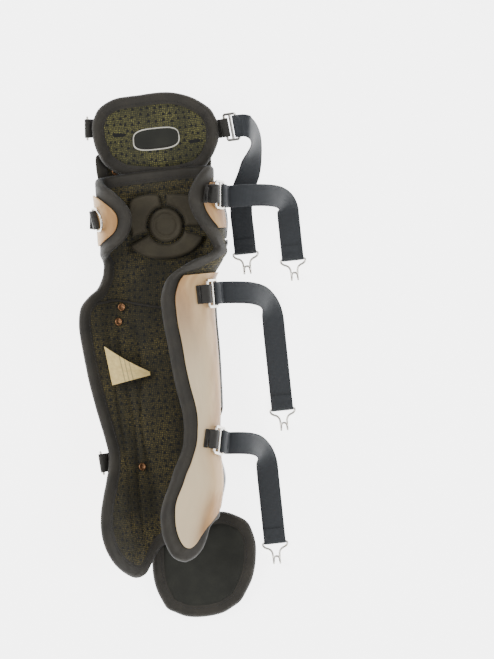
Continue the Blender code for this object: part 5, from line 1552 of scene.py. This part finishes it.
class Seat:
    """A place on a panel's outer face with its own axes: run goes round the bend away
    from the free edge (or outwards past it), lift points off the face and leg follows
    the leg. ahead is how far along the run the axes touch the face."""

    def __init__(self, panel, along, y, height, skew=0.0, ahead=0.0, outwards=False):
        self.panel = panel
        self.place = (along, y, height)
        self.away = -1.0 if (along >= 0) != outwards else 1.0
        self.ahead = ahead
        self.lean = math.radians(skew)
        here = panel.point(along, y, -height)
        run = unit(panel.point(along + self.away * SEAT_STEP, y, -height) - here)
        leg = panel.point(along, y + SEAT_STEP, -height) - here
        leg = unit(leg - run * np.dot(run, leg))
        self.lift = np.cross(run, leg)
        if np.dot(self.lift, panel.point(along, y, 0.0) - here) > 0:
            self.lift = -self.lift
        self.run = run * math.cos(self.lean) + leg * math.sin(self.lean)
        self.leg = leg * math.cos(self.lean) - run * math.sin(self.lean)
        self.origin = here - self.run * ahead

    def at(self, run, leg, lift):
        """A point in the seat's straight axes."""
        return self.origin + self.run * run + self.leg * leg + self.lift * lift

    def follow(self, run, leg, lift):
        """The same point where the run and leg are laid along the face."""
        along, y, height = self.place
        ahead = run - self.ahead
        across = ahead * math.cos(self.lean) - leg * math.sin(self.lean)
        up = ahead * math.sin(self.lean) + leg * math.cos(self.lean)
        return self.panel.point(along + self.away * across, y + up, -height - lift)

    def width_at(self, run):
        """The direction of a laid strap's width."""
        return self.follow(run, WEB_WIDTH / 2, 0.0) - self.follow(run, -WEB_WIDTH / 2, 0.0)


def arc(centre, radius, start, end, steps):
    """Points of an arc in two dimensions, angles in degrees."""
    angles = np.radians(np.linspace(start, end, steps))
    return [(centre[0] + radius * math.cos(a), centre[1] + radius * math.sin(a)) for a in angles]


def wrap(seat, tail, near, far, middle, radius, thick, lie, laid=True):
    """The path of webbing that comes along a face from its tail, goes round a bar and
    returns, with the direction of its width at each point. The bar reaches from near to
    far along the run, at the height middle, and lie is the webbing's gap to the face.
    What isn't laid along the face runs straight."""
    low = thick / 2 + lie
    back = max(low + thick + SEAT_GAP, middle)
    turn = arc((far, middle), radius, -90, 90, 4)
    if far < tail:
        turn = [(2 * far - r, l) for r, l in turn]
    place = seat.follow if laid else seat.at
    width = seat.width_at if laid else lambda run: seat.leg
    inward = [(tail + (far - tail) * share, low) for share in (0.0, 0.35, 0.70)]
    outward = [((tail + near) / 2, back), (tail, low + thick + SEAT_GAP)]
    path = [place(r, 0.0, l) for r, l in inward]
    path += [seat.at(r, 0.0, l) for r, l in turn + [(near, middle + radius)]]
    path += [place(r, 0.0, l) for r, l in outward]
    across = [width(r) for r, l in inward] + [seat.leg] * (len(turn) + 1) + [width(r) for r, l in outward]
    return path, across


def tab(name, seat, tail, near, far, middle, radius):
    """A webbing loop sewn to a face, round a bar."""
    path, across = wrap(seat, tail, near, far, middle, radius, WEB, SEAT_GAP)
    ribbon(name, path, across, WEB_WIDTH, WEB, "webbing")


def rounded(points):
    """A closed path with its corners cut twice."""
    points = np.asarray(points)
    for _ in range(2):
        after = np.roll(points, -1, axis=0)
        cut = (points * 0.75 + after * 0.25, points * 0.25 + after * 0.75)
        points = np.stack(cut, axis=1).reshape(-1, 3)
    return points


def d_ring(name, seat, middle, hangs):
    """A wire ring with one straight side, which hangs down or lies over its face."""
    away = np.array((0.0, 0.0, -1.0)) if hangs else -seat.run
    away = unit(away - seat.leg * np.dot(away, seat.leg))
    points = [(0.0, leg) for leg in (-0.5, -0.45, -0.2, 0.2, 0.45, 0.5)]
    points += [(RING_ARM + (1 - RING_ARM) * math.sin(angle), 0.5 * math.cos(angle))
               for angle in np.radians(np.linspace(0, 180, RING_STEPS))]
    path = [seat.at(0.0, leg * RING_WIDTH, middle) + away * depth * RING_DEPTH for depth, leg in points]
    tube(name, rounded(path), WIRE, "metal", (name,), "plated_metal")


def slider(name, seat, middle):
    """A flat buckle with two slots: a rounded frame and a bar across its middle."""
    half_run, half_leg = (SLIDER_DEPTH - SLIDER_BAR) / 2, (SLIDER_WIDTH - SLIDER_BAR) / 2
    centre, corner = SLIDER_DEPTH / 2, SLIDER_BAR * BUCKLE_CORNER
    frame_line = [spot for run, leg, start in ((1, 1, 0), (-1, 1, 90), (-1, -1, 180), (1, -1, 270))
                  for spot in arc((centre + run * (half_run - corner), leg * (half_leg - corner)), corner,
                                  start, start + 90, 9)]
    frame_line = np.array(frame_line)
    frame_way = unit(np.roll(frame_line, -1, axis=0) - np.roll(frame_line, 1, axis=0))
    bar_line = np.array([(centre, -half_leg), (centre, half_leg)])
    bar_way = np.array([(0.0, 1.0)] * 2)
    way = circle(BUCKLE_SIDES)
    out, up = (np.sign(way) * np.abs(way) ** BUCKLE_POWER * (SLIDER_BAR / 2, SLIDER_THICK / 2)).T
    verts = []
    for line, ahead in ((frame_line, frame_way), (bar_line, bar_way)):
        for spot, (run, leg) in zip(line, ahead):
            for side, lift in zip(out, up):
                verts.append(seat.at(spot[0] + leg * side, spot[1] - run * side, middle + lift))
    count = len(frame_line)
    faces = [quads(count, BUCKLE_SIDES, True, True)]
    faces += [corners + count * BUCKLE_SIDES for corners in rod_faces(2, BUCKLE_SIDES)]
    add_piece(name, verts, faces, None, LOOKS["metal"], (name,), "plated_metal", 40)


def strap(name, seat, middle, reach, run, route):
    """An elastic strap: round the slider's outer bar, down to the ground, along it and
    round the bar of its hook. Returns the middle of that bar."""
    radius = SLIDER_THICK / 2 + SEAT_GAP + STRAP / 2
    path, across = wrap(seat, SLIDER_DEPTH + STRAP_FOLD, SLIDER_DEPTH + SEAT_GAP,
                        SLIDER_DEPTH - SLIDER_BAR, middle, radius, STRAP, SEAT_GAP, False)
    path, across = path[::-1], across[::-1]
    away = path[-1]
    ground = STRAP / 2 + SEAT_GAP
    for out_share, run_share, height, angle in route:
        turn = math.radians(angle)
        path.append(np.array((away[0] + out_share * reach * STRAP_REACH,
                              away[1] - run_share * run * STRAP_RUN,
                              ground + height * (away[2] - ground))))
        across.append(np.array((math.cos(turn), math.sin(turn), 0.0)))
    bar_radius = WIRE + SEAT_GAP + STRAP / 2
    bar = np.array((path[-1][0], away[1] - run * STRAP_RUN, ground + bar_radius))
    end = [(-r, l) for r, l in arc((0.0, 0.0), bar_radius, -90, 90, 4)]
    end += [(STRAP_TAIL / 2, 0.0), (STRAP_TAIL, STRAP + SEAT_GAP - bar_radius)]
    path += [bar + np.array((0.0, r, l)) for r, l in end]
    across += [np.array((1.0, 0.0, 0.0))] * len(end)
    ribbon(name, path, across, STRAP_WIDTH, STRAP, "elastic")
    return bar


def hook(name, bar):
    """A bent wire hook on the end of a strap, its tongue curled back."""
    half = [(w * HOOK_WIDTH / 2, -d * HOOK_LENGTH, h * HOOK_RISE) for w, d, h in HOOK_SHAPE]
    path = [bar + np.array(spot) for spot in half + [(-x, y, z) for x, y, z in reversed(half)]]
    tube(name, rounded(path), WIRE, "metal", (name,), "plated_metal")


def buckled_side():
    """Sliders, straps and hooks down the inner side of the leg."""
    radius = SLIDER_THICK / 2 + SEAT_GAP + WEB / 2
    middle = SEAT_GAP + STRAP + SEAT_GAP + SLIDER_THICK / 2
    for name, station, turn, skew, lie, reach, run in STRAP_ROWS:
        if name == "thigh":
            edge = THIGH.edge(THIGH_MEDIAL)[:, 0].max()
            seat = Seat(THIGH, edge, THIGH.y_at(station), ROLL_PROUD, skew, -SLIDER_BAR, True)
        else:
            along = LINER.along_at_turn(station, turn, True)
            height = COVER_SEAT + COVER + lie * WEB_SEAT
            seat = Seat(LINER, along, float(LINER.y_at(station)), height, skew,
                        SLIDER_DEPTH * BUCKLE_SEAT)
        tab("slider_tab_" + name, seat, -SLIDER_TAIL, -2 * SEAT_GAP, SLIDER_BAR, middle, radius)
        slider("slider_" + name, seat, middle)
        route = HIGH_ROUTE if name == "thigh" else STRAP_ROUTE
        hook("hook_" + name, strap("strap_" + name, seat, middle, reach, run, route))


def ring_side():
    """Rings in webbing tabs down the outer side of the leg."""
    radius = WIRE + SEAT_GAP + WEB / 2
    middle = SEAT_GAP + WEB / 2 + radius
    for name, station, beyond, lie, hangs in RING_ROWS:
        panel, edge, face = LINER, SHIN_LATERAL, COVER_SEAT + COVER
        if name == "thigh":
            panel, edge, face = THIGH, THIGH_LATERAL, ROLL_PROUD
        y = float(panel.y_at(station))
        if name == "knee":
            along = panel.along_at_turn(station, KNEE_RING_TURN, False)
        else:
            edge = panel.edge(edge)
            order = np.argsort(edge[:, 1])
            along = float(np.interp(y, edge[order, 1], edge[order, 0])) - beyond * panel.width
        seat = Seat(panel, along, y, face + lie * WEB_SEAT)
        tab("ring_tab_" + name, seat, TAB_TAIL * panel.width, 2 * WIRE, 0.0, middle, radius)
        d_ring("d_ring_" + name, seat, middle, hangs)


def build():
    left, right, hem = liner()
    for row in PADS:
        simple_pad(*row)
    covers(left, right, hem)
    shells()
    segment("knee_segment_lateral", SEGMENT_LATERAL)
    segment("knee_segment_medial", SEGMENT_MEDIAL)
    segment("knee_segment_lower", SEGMENT_LOWER)
    disc()
    buckled_side()
    ring_side()
    for name, x, station in RIVET_ROWS:
        rivet(name, LINER, x, station, PAD + RIVET_SEAT)
    rivet("rivet_bridge", BRIDGE, *RIVET_BRIDGE, THIN_PAD + BRIDGE_RIVET_SEAT)
    label()
    for row in PATCHES:
        oval_patch(*row)


def floor_and_light():
    """A pure pale ground, wide soft light from above and the camera above the leg."""
    bpy.ops.mesh.primitive_plane_add(size=FLOOR_SIZE, location=(0.0, 0.0, 0.0))
    floor = bpy.context.object
    floor.name = "floor"
    look = Look("floor_paint", FLOOR, 0.9)
    look.feed(look.shader, {"Emission Color": FLOOR, "Emission Strength": FLOOR_GLOW})
    floor.data.materials.append(look.material)
    floor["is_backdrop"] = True

    scene = bpy.context.scene
    scene.world = bpy.data.worlds.new("studio")
    scene.world.use_nodes = True
    sky = Nodes(scene.world.node_tree)
    upwards = sky.split(sky.mapped(source="Generated"))["Z"]
    sky.feed(sky.tree.nodes["Background"], {"Color": sky.ramp(upwards, SKY_STOPS), "Strength": SKY})
    for name, place, size, power in LIGHTS:
        lamp = bpy.data.lights.new(name, "AREA")
        lamp.shape = "DISK"
        lamp.size = size
        lamp.energy = power
        made = bpy.data.objects.new(name, lamp)
        made.location = place
        made.rotation_euler = (Vector(AIM) - Vector(place)).to_track_quat("-Z", "Y").to_euler()
        scene.collection.objects.link(made)

    lens = bpy.data.cameras.new("camera")
    lens.sensor_fit = "VERTICAL"
    lens.lens = SENSOR * CAMERA_HEIGHT / FIELD_HEIGHT
    lens.sensor_height = SENSOR
    lens.clip_end = CAMERA_END
    camera = bpy.data.objects.new("camera", lens)
    camera.matrix_world = (Matrix.Translation((*FIELD_MIDDLE, CAMERA_HEIGHT))
                           @ Matrix.Rotation(-math.radians(PHOTO_LEAN), 4, "Z"))
    scene.collection.objects.link(camera)
    scene.camera = camera


make_looks()
build()
floor_and_light()
[[list(map(float, corner)) for corner in box] for box in (CAD_BOX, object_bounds())]
